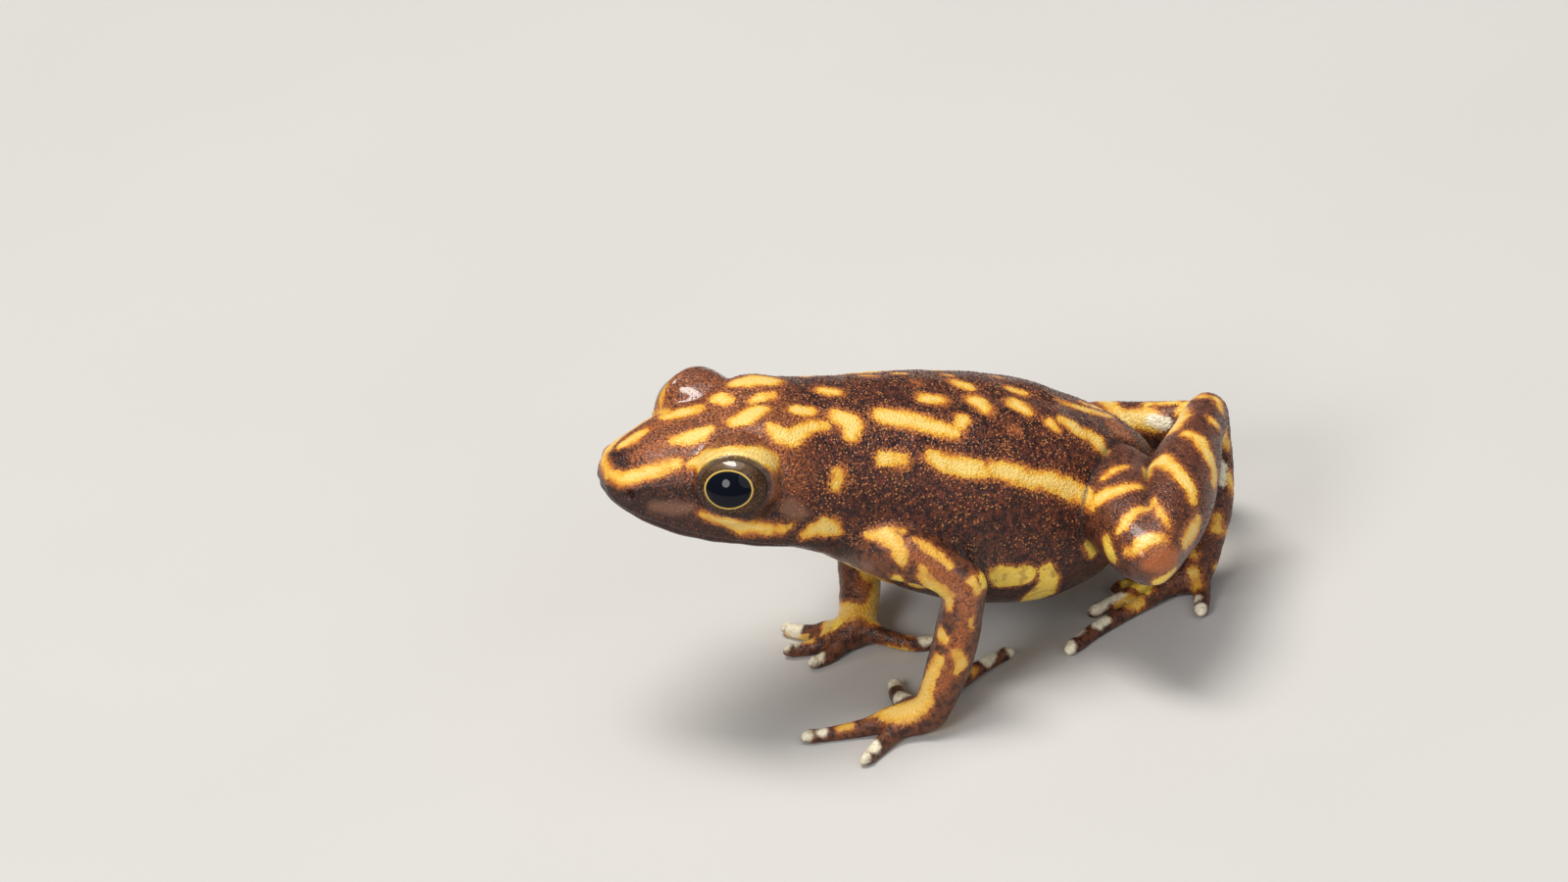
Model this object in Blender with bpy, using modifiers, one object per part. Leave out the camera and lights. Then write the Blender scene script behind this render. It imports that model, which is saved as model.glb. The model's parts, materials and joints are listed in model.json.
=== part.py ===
"""A small poison frog sitting alert on its four feet, life size, as closed solids.

Sizes are in millimetres and the finished solids are turned into metres at the end.
+X is the frog's left side, +Y points behind it and +Z is up. The floor is z = 0.
"""

import math

import bmesh
import bpy
import numpy as np
from mathutils import Matrix, Vector

NAME = "poison_frog"
METRES = 0.001
GAP = 0.3
WELD = 0.0001

# The trunk has its own frame: x to the left, y backwards along it and z up from its axis.
TRUNK_ORIGIN = (-0.42, 0.0, 5.55)
TRUNK_PITCH = math.radians(15.4)
TRUNK_LEAN = math.radians(4.0)
NECK_Y = -2.95

# Each section: y, half width, height of the widest line, top, bottom, squareness above and below.
SECTIONS = (
    (-8.92, 0.05, 0.22, 0.28, 0.16, 2.0, 2.0),
    (-8.84, 0.60, 0.18, 0.56, -0.14, 2.1, 2.0),
    (-8.60, 0.98, 0.06, 0.82, -0.33, 2.2, 2.0),
    (-8.20, 1.33, -0.06, 1.14, -0.57, 2.3, 2.0),
    (-7.60, 1.68, -0.20, 1.50, -0.83, 2.4, 2.1),
    (-6.80, 2.12, -0.28, 1.80, -1.01, 2.5, 2.1),
    (-5.90, 2.47, -0.31, 2.06, -1.10, 2.5, 2.1),
    (-5.00, 2.71, -0.27, 2.26, -1.17, 2.5, 2.1),
    (-4.00, 2.84, -0.20, 2.42, -1.33, 2.4, 2.1),
    (-3.00, 2.86, -0.22, 2.52, -1.70, 2.3, 2.1),
    (-2.00, 2.95, -0.38, 2.58, -2.26, 2.2, 2.1),
    (-0.80, 3.18, -0.63, 2.58, -2.88, 2.2, 2.1),
    (0.60, 3.44, -0.87, 2.51, -3.36, 2.2, 2.1),
    (2.00, 3.58, -1.00, 2.36, -3.64, 2.2, 2.1),
    (3.40, 3.50, -1.02, 2.10, -3.62, 2.2, 2.1),
    (4.70, 3.15, -0.93, 1.73, -3.25, 2.1, 2.1),
    (5.80, 2.58, -0.78, 1.28, -2.60, 2.1, 2.1),
    (6.60, 1.95, -0.60, 0.85, -1.90, 2.0, 2.0),
    (7.15, 1.20, -0.40, 0.40, -1.20, 2.0, 2.0),
    (7.42, 0.05, -0.30, -0.22, -0.38, 2.0, 2.0),
)
HEAD_SECTIONS = 22
TRUNK_SECTIONS = 18
HEAD_SIDES = 36
TRUNK_SIDES = 30
HEAD_VOXEL = 0.17
HEAD_TRIANGLES = 1500

# Eyes and lids, in the trunk's frame, left side.
BULGE_CENTRE = (1.86, -5.72, 1.00)
BULGE_RADIUS = 1.24
EYE_CENTRE = (2.13, -5.74, 1.03)
EYE_RADII = (0.86, 0.92, 0.82)
SOCKET_RADII = (1.08, 1.13, 1.02)

# Mouth, nostrils and eardrum, in the trunk's frame.
MOUTH_CORNER_Y = -4.25
MOUTH_CORNER_Z = -0.62
MOUTH_FRONT_Y = -8.86
MOUTH_FRONT_Z = -0.02
MOUTH_GROOVE = 0.10
LIP_RADIUS = 0.17
LIP_RISE = 0.20
NOSTRIL_Y = -8.42
NOSTRIL_Z = 0.34
NOSTRIL_RADII = (0.16, 0.13, 0.10)
EARDRUM_Y = -4.05
EARDRUM_Z = 0.02
EARDRUM_RADIUS = 0.40
EARDRUM_GROOVE = 0.07

# Limb axes: each point is x, y, z, radius.
LIMBS = {
    "upper_arm_left": (
        (1.40, -2.05, 5.20, 0.95),
        (2.55, -1.60, 5.10, 0.84),
        (3.25, -0.82, 4.78, 0.66),
        (3.75, 0.07, 4.04, 0.60),
    ),
    "forearm_left": (
        (3.75, 0.07, 4.04, 0.60),
        (3.90, -0.49, 2.59, 0.64),
        (4.00, -1.06, 1.46, 0.60),
        (4.10, -1.60, 0.62, 0.50),
    ),
    "upper_arm_right": (
        (-1.95, -1.90, 5.25, 0.95),
        (-3.10, -1.45, 4.75, 0.84),
        (-3.95, -0.90, 4.00, 0.68),
        (-4.50, -0.35, 3.20, 0.60),
    ),
    "forearm_right": (
        (-4.50, -0.35, 3.20, 0.60),
        (-3.35, -0.95, 2.15, 0.64),
        (-2.10, -1.50, 1.15, 0.60),
        (-1.25, -1.95, 0.62, 0.50),
    ),
    "thigh_left": (
        (1.00, 5.35, 3.94, 1.30),
        (3.00, 5.05, 4.12, 1.20),
        (4.20, 4.95, 4.10, 1.05),
        (5.00, 4.96, 4.02, 0.88),
    ),
    "shank_left": (
        (5.00, 5.12, 4.10, 0.84),
        (3.80, 6.05, 4.22, 1.05),
        (2.10, 7.09, 4.28, 1.02),
        (0.40, 8.18, 4.35, 0.74),
        (-0.80, 8.92, 4.24, 0.60),
    ),
    "tarsus_left": (
        (-0.80, 8.92, 4.24, 0.60),
        (-0.10, 8.70, 3.10, 0.56),
        (0.52, 8.22, 2.03, 0.62),
        (1.05, 7.50, 0.85, 0.56),
    ),
    "thigh_right": (
        (-1.60, 5.10, 3.30, 1.25),
        (-2.90, 4.50, 3.00, 1.15),
        (-4.10, 3.70, 2.60, 1.00),
        (-4.90, 3.10, 2.35, 0.86),
    ),
    "shank_right": (
        (-4.90, 3.25, 2.40, 0.84),
        (-4.45, 4.60, 2.60, 1.03),
        (-3.70, 6.30, 2.82, 1.00),
        (-2.80, 8.00, 3.05, 0.73),
        (-2.20, 9.05, 3.22, 0.60),
    ),
    "tarsus_right": (
        (-2.20, 9.05, 3.22, 0.60),
        (-2.85, 8.70, 2.40, 0.55),
        (-3.50, 7.90, 1.50, 0.60),
        (-4.10, 6.90, 0.82, 0.60),
    ),
}
LIMB_SIDES = 16

# Digits: each starts inside the palm or sole and ends at the middle of its disc.
DIGITS = {
    "hand_left": (
        (
            (4.10, -1.60, 0.62, 0.50),
            (3.55, -2.45, 0.42, 0.38),
            (3.17, -3.60, 0.26, 0.24),
            (2.79, -4.86, 0.20, 0.21),
        ),
        (
            (4.10, -1.60, 0.60, 0.46),
            (3.98, -2.55, 0.36, 0.32),
            (4.30, -3.20, 0.26, 0.24),
            (4.74, -3.78, 0.20, 0.21),
        ),
        (
            (4.05, -1.62, 0.58, 0.44),
            (3.05, -1.98, 0.42, 0.30),
            (2.20, -1.98, 0.28, 0.24),
            (1.55, -1.86, 0.22, 0.21),
        ),
        (
            (4.05, -1.50, 0.58, 0.44),
            (3.10, -0.92, 0.42, 0.28),
            (2.10, 0.42, 0.28, 0.22),
            (1.68, 1.50, 0.20, 0.20),
        ),
    ),
    "hand_right": (
        (
            (-1.25, -1.95, 0.62, 0.50),
            (-1.36, -2.60, 0.42, 0.38),
            (-1.50, -3.20, 0.26, 0.24),
            (-1.70, -3.90, 0.20, 0.21),
        ),
        (
            (-1.25, -1.95, 0.60, 0.46),
            (-1.80, -2.60, 0.38, 0.30),
            (-2.30, -3.15, 0.26, 0.24),
            (-2.85, -3.60, 0.20, 0.21),
        ),
        (
            (-1.20, -1.95, 0.58, 0.44),
            (-1.00, -2.55, 0.40, 0.30),
            (-0.80, -3.00, 0.26, 0.22),
            (-0.72, -3.50, 0.20, 0.20),
        ),
        (
            (-1.20, -1.85, 0.58, 0.44),
            (-0.60, -1.40, 0.42, 0.28),
            (0.00, -0.60, 0.28, 0.22),
            (0.12, 0.30, 0.20, 0.20),
        ),
    ),
    "foot_left": (
        (
            (1.05, 7.50, 0.66, 0.48),
            (1.22, 6.60, 0.44, 0.31),
            (1.42, 5.60, 0.30, 0.25),
            (1.87, 4.09, 0.24, 0.23),
            (2.45, 3.06, 0.20, 0.22),
        ),
        (
            (1.05, 7.50, 0.64, 0.42),
            (0.80, 6.45, 0.44, 0.30),
            (0.78, 5.35, 0.28, 0.24),
            (0.98, 4.28, 0.20, 0.21),
        ),
        (
            (1.10, 7.50, 0.64, 0.42),
            (1.48, 7.34, 0.42, 0.30),
            (2.02, 7.14, 0.28, 0.25),
            (2.56, 6.92, 0.20, 0.22),
        ),
        (
            (1.00, 7.50, 0.62, 0.42),
            (0.50, 6.70, 0.42, 0.29),
            (0.20, 5.95, 0.26, 0.22),
            (0.15, 5.30, 0.20, 0.20),
        ),
        ((0.95, 7.55, 0.60, 0.40), (0.38, 7.25, 0.42, 0.29), (-0.15, 6.80, 0.20, 0.20)),
    ),
    "foot_right": (
        (
            (-4.10, 6.90, 0.64, 0.52),
            (-4.50, 5.80, 0.44, 0.33),
            (-4.85, 4.60, 0.30, 0.25),
            (-5.20, 3.30, 0.24, 0.23),
            (-5.50, 2.15, 0.20, 0.22),
        ),
        (
            (-4.10, 6.90, 0.62, 0.46),
            (-4.20, 5.70, 0.44, 0.34),
            (-4.25, 4.45, 0.28, 0.24),
            (-4.35, 3.35, 0.20, 0.21),
        ),
        (
            (-4.15, 6.90, 0.62, 0.46),
            (-4.80, 6.25, 0.40, 0.32),
            (-5.25, 5.75, 0.28, 0.25),
            (-5.65, 5.15, 0.20, 0.22),
        ),
        (
            (-4.05, 6.90, 0.60, 0.46),
            (-3.80, 5.90, 0.42, 0.32),
            (-3.60, 5.05, 0.26, 0.22),
            (-3.55, 4.35, 0.20, 0.20),
        ),
        ((-4.05, 6.95, 0.60, 0.44), (-3.45, 6.40, 0.42, 0.30), (-3.05, 5.80, 0.20, 0.20)),
    ),
}
DISC_RADII = {
    "hand_left": (0.25, 0.23, 0.17),
    "hand_right": (0.25, 0.23, 0.17),
    "foot_left": (0.29, 0.25, 0.18),
    "foot_right": (0.29, 0.25, 0.18),
}
DISC_HEIGHT = 0.15
KNUCKLE = 1.22
DIGIT_SIDES = 8

# The flesh of each palm or sole: how far along the first digit it lies, its length, width and height.
PALMS = {
    "hand_left": (0.50, 0.66, 0.54, 0.38),
    "hand_right": (0.50, 0.64, 0.54, 0.38),
    "foot_left": (0.45, 0.70, 0.44, 0.36),
    "foot_right": (0.50, 0.74, 0.48, 0.36),
}
PALM_HEIGHT = 0.33

# The limb pieces that the trunk's swelling trims.
BESIDE_TRUNK = (
    "upper_arm_left",
    "upper_arm_right",
    "thigh_left",
    "thigh_right",
    "shank_left",
    "shank_right",
)

# Where two limb pieces meet: the first piece, the second piece.
JOINTS = (
    ("upper_arm_left", "forearm_left"),
    ("forearm_left", "hand_left"),
    ("upper_arm_right", "forearm_right"),
    ("forearm_right", "hand_right"),
    ("thigh_left", "shank_left"),
    ("shank_left", "tarsus_left"),
    ("tarsus_left", "foot_left"),
    ("thigh_right", "shank_right"),
    ("shank_right", "tarsus_right"),
    ("tarsus_right", "foot_right"),
)

# How finely the forms are drawn, and how deep the small features lie.
END_CROWDING = 0.55
END_STEPS = (0.5, 0.85, 0.985)
LIMB_STEPS = 4
DIGIT_STEPS = 2
MOUTH_STEPS = 10
MOUTH_CURVE = 1.4
LIP_INSET = 0.10
MOUTH_INSET = -0.02
NOSTRIL_INSET = 0.04
EARDRUM_STEPS = 12
TRIM_SIDES = 6
SOFTENING = 3
SOFTENING_SHARE = 0.5
CUT_REACH = 12.0
HEAD_OVERLAP = 1.2
WHOLE_SECTIONS = 28
BULGE_FACETS = (16, 24)
SOCKET_FACETS = (14, 22)
NOSTRIL_FACETS = (6, 8)
EYE_FACETS = (10, 16)
PALM_FACETS = (8, 14)
DISC_FACETS = (6, 12)

SKIN_COLOUR = (0.085, 0.026, 0.018, 1.0)
LIMB_COLOUR = (0.42, 0.17, 0.035, 1.0)
EYE_COLOUR = (0.010, 0.010, 0.016, 1.0)
SKIN_ROUGHNESS = 0.4
EYE_ROUGHNESS = 0.1


def collection(name, hidden=False):
    made = bpy.data.collections.new(name)
    bpy.context.scene.collection.children.link(made)
    made.hide_render = hidden
    return made


def object_of(name, mesh, where):
    made = bpy.data.objects.new(name, mesh)
    where.objects.link(made)
    return made


def object_from(bm, name, where):
    bmesh.ops.recalc_face_normals(bm, faces=bm.faces)
    mesh = bpy.data.meshes.new(name)
    bm.to_mesh(mesh)
    bm.free()
    return object_of(name, mesh, where)


def baked(obj):
    """Turns what the modifiers make into the object's own mesh."""
    bpy.context.view_layer.update()
    graph = bpy.context.evaluated_depsgraph_get()
    mesh = bpy.data.meshes.new_from_object(obj.evaluated_get(graph))
    obj.modifiers.clear()
    obj.data = mesh
    return obj


def boolean(obj, other, operation, solver="EXACT"):
    modifier = obj.modifiers.new(operation.lower(), "BOOLEAN")
    modifier.operation = operation
    modifier.solver = solver
    modifier.object = other
    return baked(obj)


def trunk_matrix():
    turn = Matrix.Rotation(-TRUNK_PITCH, 4, "X") @ Matrix.Rotation(TRUNK_LEAN, 4, "Y")
    return Matrix.Translation(TRUNK_ORIGIN) @ turn


def smooth_columns(y):
    """The section sizes at y, by a monotone cubic through the table."""
    table = np.array(SECTIONS)
    ys = table[:, 0]
    values = table[:, 1:]
    steps = np.diff(ys)[:, None]
    slopes = np.diff(values, axis=0) / steps
    tangents = np.zeros_like(values)
    same = slopes[:-1] * slopes[1:] > 0
    before = 2 * steps[1:] + steps[:-1]
    after = steps[1:] + 2 * steps[:-1]
    safe_low = np.where(same, slopes[:-1], 1.0)
    safe_high = np.where(same, slopes[1:], 1.0)
    mean = (before + after) / (before / safe_low + after / safe_high)
    tangents[1:-1] = np.where(same, mean, 0.0)
    tangents[0] = slopes[0]
    tangents[-1] = slopes[-1]
    index = int(np.clip(np.searchsorted(ys, y) - 1, 0, len(ys) - 2))
    step = ys[index + 1] - ys[index]
    t = (y - ys[index]) / step
    first = (1 + 2 * t) * (1 - t) ** 2
    second = t * (1 - t) ** 2
    third = t * t * (3 - 2 * t)
    fourth = t * t * (t - 1)
    start = first * values[index] + second * step * tangents[index]
    end = third * values[index + 1] + fourth * step * tangents[index + 1]
    return start + end


def section(y, sides):
    """One closed ring of the trunk at y."""
    half, middle, top, bottom, upper, lower = smooth_columns(y)
    ring = []
    for i in range(sides):
        angle = 2 * math.pi * i / sides
        c = math.cos(angle)
        s = math.sin(angle)
        power = 2 / (upper if s >= 0 else lower)
        height = (top - middle) if s >= 0 else (middle - bottom)
        x = half * math.copysign(abs(c) ** power, c)
        z = middle + height * math.copysign(abs(s) ** power, s)
        ring.append((x, y, z))
    return ring


def flank_x(y, z):
    """How far the trunk reaches sideways at y and height z."""
    half, middle, top, bottom, upper, lower = smooth_columns(y)
    if z >= middle:
        part, power = (z - middle) / (top - middle), upper
    else:
        part, power = (middle - z) / (middle - bottom), lower
    return half * max(0.0, 1 - min(1.0, part) ** power) ** (1 / power)


def loft(name, rings, where):
    """Joins unlike sections with faces and closes both ends."""
    bm = bmesh.new()
    rows = [[bm.verts.new(point) for point in ring] for ring in rings]
    count = len(rows[0])
    for low, high in zip(rows[:-1], rows[1:]):
        for i in range(count):
            j = (i + 1) % count
            bm.faces.new((low[i], low[j], high[j], high[i]))
    bm.faces.new(rows[0])
    bm.faces.new(rows[-1])
    return object_from(bm, name, where)


def spaced(first, last, count, front, back):
    """Section positions that crowd towards rounded ends."""
    places = []
    for i in range(count):
        t = i / (count - 1)
        if front:
            t = t - END_CROWDING * math.sin(math.pi * t) * (1 - t)
        if back:
            t = t + END_CROWDING * math.sin(math.pi * t) * t
        places.append(first + (last - first) * min(1.0, max(0.0, t)))
    return places


def catmull(points, per_piece):
    """A smooth path through the points; each point also carries its radius."""
    padded = [points[0]] + list(points) + [points[-1]]
    path = []
    for i in range(1, len(padded) - 2):
        p0, p1, p2, p3 = (np.array(padded[i + k]) for k in (-1, 0, 1, 2))
        for k in range(per_piece):
            t = k / per_piece
            linear = (p2 - p0) * t
            square = (2 * p0 - 5 * p1 + 4 * p2 - p3) * t**2
            cube = (3 * p1 - p0 - 3 * p2 + p3) * t**3
            path.append(0.5 * (2 * p1 + linear + square + cube))
    path.append(np.array(padded[-2]))
    return path


def rounded(path):
    """Adds rings past both ends, so that each end closes as a ball would."""
    start = path[0]
    end = path[-1]
    out = (start[:3] - path[1][:3]) / np.linalg.norm(start[:3] - path[1][:3])
    on = (end[:3] - path[-2][:3]) / np.linalg.norm(end[:3] - path[-2][:3])
    front = []
    back = []
    for step in END_STEPS:
        narrow = math.sqrt(1 - step * step)
        front.insert(0, np.append(start[:3] + out * start[3] * step, start[3] * narrow))
        back.append(np.append(end[:3] + on * end[3] * step, end[3] * narrow))
    return front + path + back


def tube(name, points, sides, where, per_piece=LIMB_STEPS):
    """A round limb or digit along a smooth path with a radius at each point."""
    path = rounded(catmull(points, per_piece))
    curve = bpy.data.curves.new(name, "CURVE")
    curve.dimensions = "3D"
    curve.bevel_depth = 1.0
    curve.bevel_resolution = max(0, sides // 2 - 2)
    curve.use_fill_caps = True
    spline = curve.splines.new("POLY")
    spline.points.add(len(path) - 1)
    for point, place in zip(spline.points, path):
        point.co = (place[0], place[1], place[2], 1.0)
        point.radius = place[3]
    drawn = object_of(name + "_curve", curve, where)
    bpy.context.view_layer.update()
    graph = bpy.context.evaluated_depsgraph_get()
    mesh = bpy.data.meshes.new_from_object(drawn.evaluated_get(graph))
    bpy.data.objects.remove(drawn)
    bm = bmesh.new()
    bm.from_mesh(mesh)
    bmesh.ops.remove_doubles(bm, verts=bm.verts, dist=WELD)
    return object_from(bm, name, where)


def ball(name, centre, radii, where, facets, turn=None):
    """An ellipsoid; facets are its rings from pole to pole and its sides."""
    rings, sides = facets
    bm = bmesh.new()
    bmesh.ops.create_uvsphere(bm, u_segments=sides, v_segments=rings, radius=1.0)
    bmesh.ops.scale(bm, vec=Vector(radii), verts=bm.verts)
    if turn is not None:
        bmesh.ops.transform(bm, matrix=turn, verts=bm.verts)
    bmesh.ops.translate(bm, vec=Vector(centre), verts=bm.verts)
    return object_from(bm, name, where)


def slab(name, point, normal, reach, where):
    """A block whose face passes through the point; it fills the side that the normal points to."""
    bm = bmesh.new()
    bmesh.ops.create_cube(bm, size=2 * reach)
    bmesh.ops.translate(bm, vec=(0, 0, reach), verts=bm.verts)
    turn = Vector((0, 0, 1)).rotation_difference(Vector(normal)).to_matrix().to_4x4()
    bmesh.ops.transform(bm, matrix=Matrix.Translation(point) @ turn, verts=bm.verts)
    return object_from(bm, name, where)


def grown(obj, amount, name, where):
    """A copy with its skin moved out along the normals."""
    bm = bmesh.new()
    bm.from_mesh(obj.data)
    bm.normal_update()
    moves = [vert.normal.copy() for vert in bm.verts]
    for vert, move in zip(bm.verts, moves):
        vert.co += move * amount
    return object_from(bm, name, where)


def make_trunk(where, cutters):
    """The whole trunk, the torso behind the neck and the swelling that cuts the limbs' roots."""
    back = spaced(NECK_Y + GAP / 2, SECTIONS[-1][0], TRUNK_SECTIONS, False, True)
    torso = loft("torso", [section(y, TRUNK_SIDES) for y in back], where)
    every = spaced(SECTIONS[0][0], SECTIONS[-1][0], WHOLE_SECTIONS, True, True)
    whole = loft("trunk_whole", [section(y, TRUNK_SIDES) for y in every], cutters)
    swelling = grown(whole, GAP, "trunk_swelling", cutters)
    for obj in (torso, whole, swelling):
        obj.data.transform(trunk_matrix())
    return torso, swelling


def mouth_path(rise, inset):
    """Points along the mouth from the right corner, round the snout, to the left corner."""
    places = []
    for i in range(MOUTH_STEPS + 1):
        t = i / MOUTH_STEPS
        y = MOUTH_CORNER_Y + (MOUTH_FRONT_Y - MOUTH_CORNER_Y) * math.sin(t * math.pi / 2)
        z = MOUTH_CORNER_Z + (MOUTH_FRONT_Z - MOUTH_CORNER_Z) * t**MOUTH_CURVE + rise
        places.append((flank_x(y, z) - inset, y, z))
    left = [(max(0.0, x), y, z) for x, y, z in places]
    right = [(-x, y, z) for x, y, z in left[:-1]]
    left[-1] = (0.0, left[-1][1] + inset, left[-1][2])
    return right + list(reversed(left))


def make_head(where, cutters):
    """The head with lids, lips, the line of the mouth, nostrils and eardrums."""
    front = spaced(SECTIONS[0][0], NECK_Y + HEAD_OVERLAP, HEAD_SECTIONS, True, False)
    head = loft("head", [section(y, HEAD_SIDES) for y in front], where)
    for side in (1, -1):
        x, y, z = BULGE_CENTRE
        bulge = ball("lid_bulge", (side * x, y, z), (BULGE_RADIUS,) * 3, cutters, BULGE_FACETS)
        boolean(head, bulge, "UNION")
    remesh = head.modifiers.new("remesh", "REMESH")
    remesh.mode = "VOXEL"
    remesh.voxel_size = HEAD_VOXEL
    soften = head.modifiers.new("soften", "SMOOTH")
    soften.factor = SOFTENING_SHARE
    soften.iterations = SOFTENING
    baked(head)
    fewer = head.modifiers.new("fewer", "DECIMATE")
    fewer.ratio = min(1.0, HEAD_TRIANGLES / (2 * len(head.data.polygons)))
    baked(head)
    boolean(head, slab("neck_cut", (0, NECK_Y - GAP / 2, 0), (0, 1, 0), CUT_REACH, cutters), "DIFFERENCE")
    lip_points = [(x, y, z, LIP_RADIUS) for x, y, z in mouth_path(LIP_RISE, LIP_INSET)]
    lip = tube("lip", lip_points, TRIM_SIDES, cutters, per_piece=1)
    boolean(head, lip, "UNION")
    groove_points = [(x, y, z, MOUTH_GROOVE) for x, y, z in mouth_path(0.0, MOUTH_INSET)]
    groove = tube("mouth_line", groove_points, TRIM_SIDES, cutters, per_piece=1)
    boolean(head, groove, "DIFFERENCE")
    for side in (1, -1):
        x, y, z = EYE_CENTRE
        socket = ball("socket", (side * x, y, z), SOCKET_RADII, cutters, SOCKET_FACETS)
        boolean(head, socket, "DIFFERENCE")
        nostril_x = flank_x(NOSTRIL_Y, NOSTRIL_Z) - NOSTRIL_INSET
        nostril_place = (side * nostril_x, NOSTRIL_Y, NOSTRIL_Z)
        nostril = ball("nostril", nostril_place, NOSTRIL_RADII, cutters, NOSTRIL_FACETS)
        boolean(head, nostril, "DIFFERENCE")
        ring = []
        for i in range(EARDRUM_STEPS + 1):
            angle = 2 * math.pi * i / EARDRUM_STEPS
            ring_y = EARDRUM_Y + EARDRUM_RADIUS * math.cos(angle)
            ring_z = EARDRUM_Z + EARDRUM_RADIUS * math.sin(angle)
            ring.append((side * flank_x(ring_y, ring_z), ring_y, ring_z, EARDRUM_GROOVE))
        eardrum = tube("eardrum", ring, TRIM_SIDES, cutters, per_piece=1)
        boolean(head, eardrum, "DIFFERENCE", "MANIFOLD")
    head.data.transform(trunk_matrix())
    return head


def make_eyes(where):
    eyes = []
    for name, side in (("eye_left", 1), ("eye_right", -1)):
        x, y, z = EYE_CENTRE
        eye = ball(name, (side * x, y, z), EYE_RADII, where, EYE_FACETS)
        eye.data.transform(trunk_matrix())
        eyes.append(eye)
    return eyes


def knuckled(points):
    """Swells the joint nearest the disc, as the pad under it does."""
    digit = [tuple(point) for point in points]
    x, y, z, radius = digit[-2]
    digit[-2] = (x, y, z, radius * KNUCKLE)
    return digit


def make_extremity(name, where, cutters):
    """A hand or foot: the digits grow from one palm and end in flat discs."""
    start = Vector(DIGITS[name][0][0][:3])
    toward = Vector(DIGITS[name][0][1][:3]) - start
    share, length, width, height = PALMS[name]
    middle = start + toward * share
    angle = math.atan2(toward.y, toward.x) - math.pi / 2
    turn = Matrix.Rotation(angle, 4, "Z")
    node = ball(name, (middle.x, middle.y, PALM_HEIGHT), (width, length, height), where, PALM_FACETS, turn)
    for index, points in enumerate(DIGITS[name]):
        digit = tube(f"{name}_digit_{index + 1}", knuckled(points), DIGIT_SIDES, cutters, DIGIT_STEPS)
        x, y, _, _ = points[-1]
        before = points[-2]
        angle = math.atan2(y - before[1], x - before[0]) - math.pi / 2
        length, width, height = DISC_RADII[name]
        turn = Matrix.Rotation(angle, 4, "Z")
        disc_name = f"{name}_disc_{index + 1}"
        disc = ball(disc_name, (x, y, DISC_HEIGHT), (width, length, height), cutters, DISC_FACETS, turn)
        boolean(digit, disc, "UNION")
        boolean(node, digit, "UNION")
    return node


def direction(name, joint):
    """Unit vector along a piece, away from the given joint."""
    points = DIGITS[name][0] if name in DIGITS else LIMBS[name]
    ends = (Vector(points[0][:3]), Vector(points[-1][:3]))
    near = min(ends, key=lambda end: (end - joint).length)
    if name in DIGITS:
        return (Vector(points[1][:3]) - near).normalized()
    far = Vector(points[1][:3]) if near == ends[0] else Vector(points[-2][:3])
    return (far - near).normalized()


def part_at_joint(nodes, first, second, cutters):
    """Cuts two neighbours by planes either side of the plane that halves their angle."""
    joint = Vector((DIGITS[second][0] if second in DIGITS else LIMBS[second])[0][:3])
    along = direction(first, joint)
    on = direction(second, joint)
    normal = (on - along).normalized()
    for index, (name, side) in enumerate(((first, 1), (second, -1))):
        place = joint - normal * side * GAP / 2
        cut = slab(f"cut_{first}_{second}_{index + 1}", place, normal * side, CUT_REACH, cutters)
        boolean(nodes[name], cut, "DIFFERENCE")


def largest(obj):
    """Keeps the biggest closed piece of a mesh."""
    bm = bmesh.new()
    bm.from_mesh(obj.data)
    left = set(bm.verts)
    pieces = []
    while left:
        stack = [left.pop()]
        piece = set(stack)
        while stack:
            vert = stack.pop()
            for edge in vert.link_edges:
                other = edge.other_vert(vert)
                if other in left:
                    left.discard(other)
                    piece.add(other)
                    stack.append(other)
        pieces.append(piece)
    pieces.sort(key=len)
    for piece in pieces[:-1]:
        bmesh.ops.delete(bm, geom=list(piece), context="VERTS")
    bmesh.ops.remove_doubles(bm, verts=bm.verts, dist=WELD)
    bmesh.ops.dissolve_degenerate(bm, edges=bm.edges, dist=WELD)
    bmesh.ops.recalc_face_normals(bm, faces=bm.faces)
    bm.to_mesh(obj.data)
    bm.free()


def material(name, colour, roughness):
    made = bpy.data.materials.new(name)
    made.use_nodes = True
    shader = made.node_tree.nodes["Principled BSDF"]
    shader.inputs["Base Color"].default_value = colour
    shader.inputs["Roughness"].default_value = roughness
    return made


def colour_of(name):
    if name.startswith("eye"):
        return EYE_COLOUR, EYE_ROUGHNESS
    if name in ("head", "torso"):
        return SKIN_COLOUR, SKIN_ROUGHNESS
    return LIMB_COLOUR, SKIN_ROUGHNESS


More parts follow.
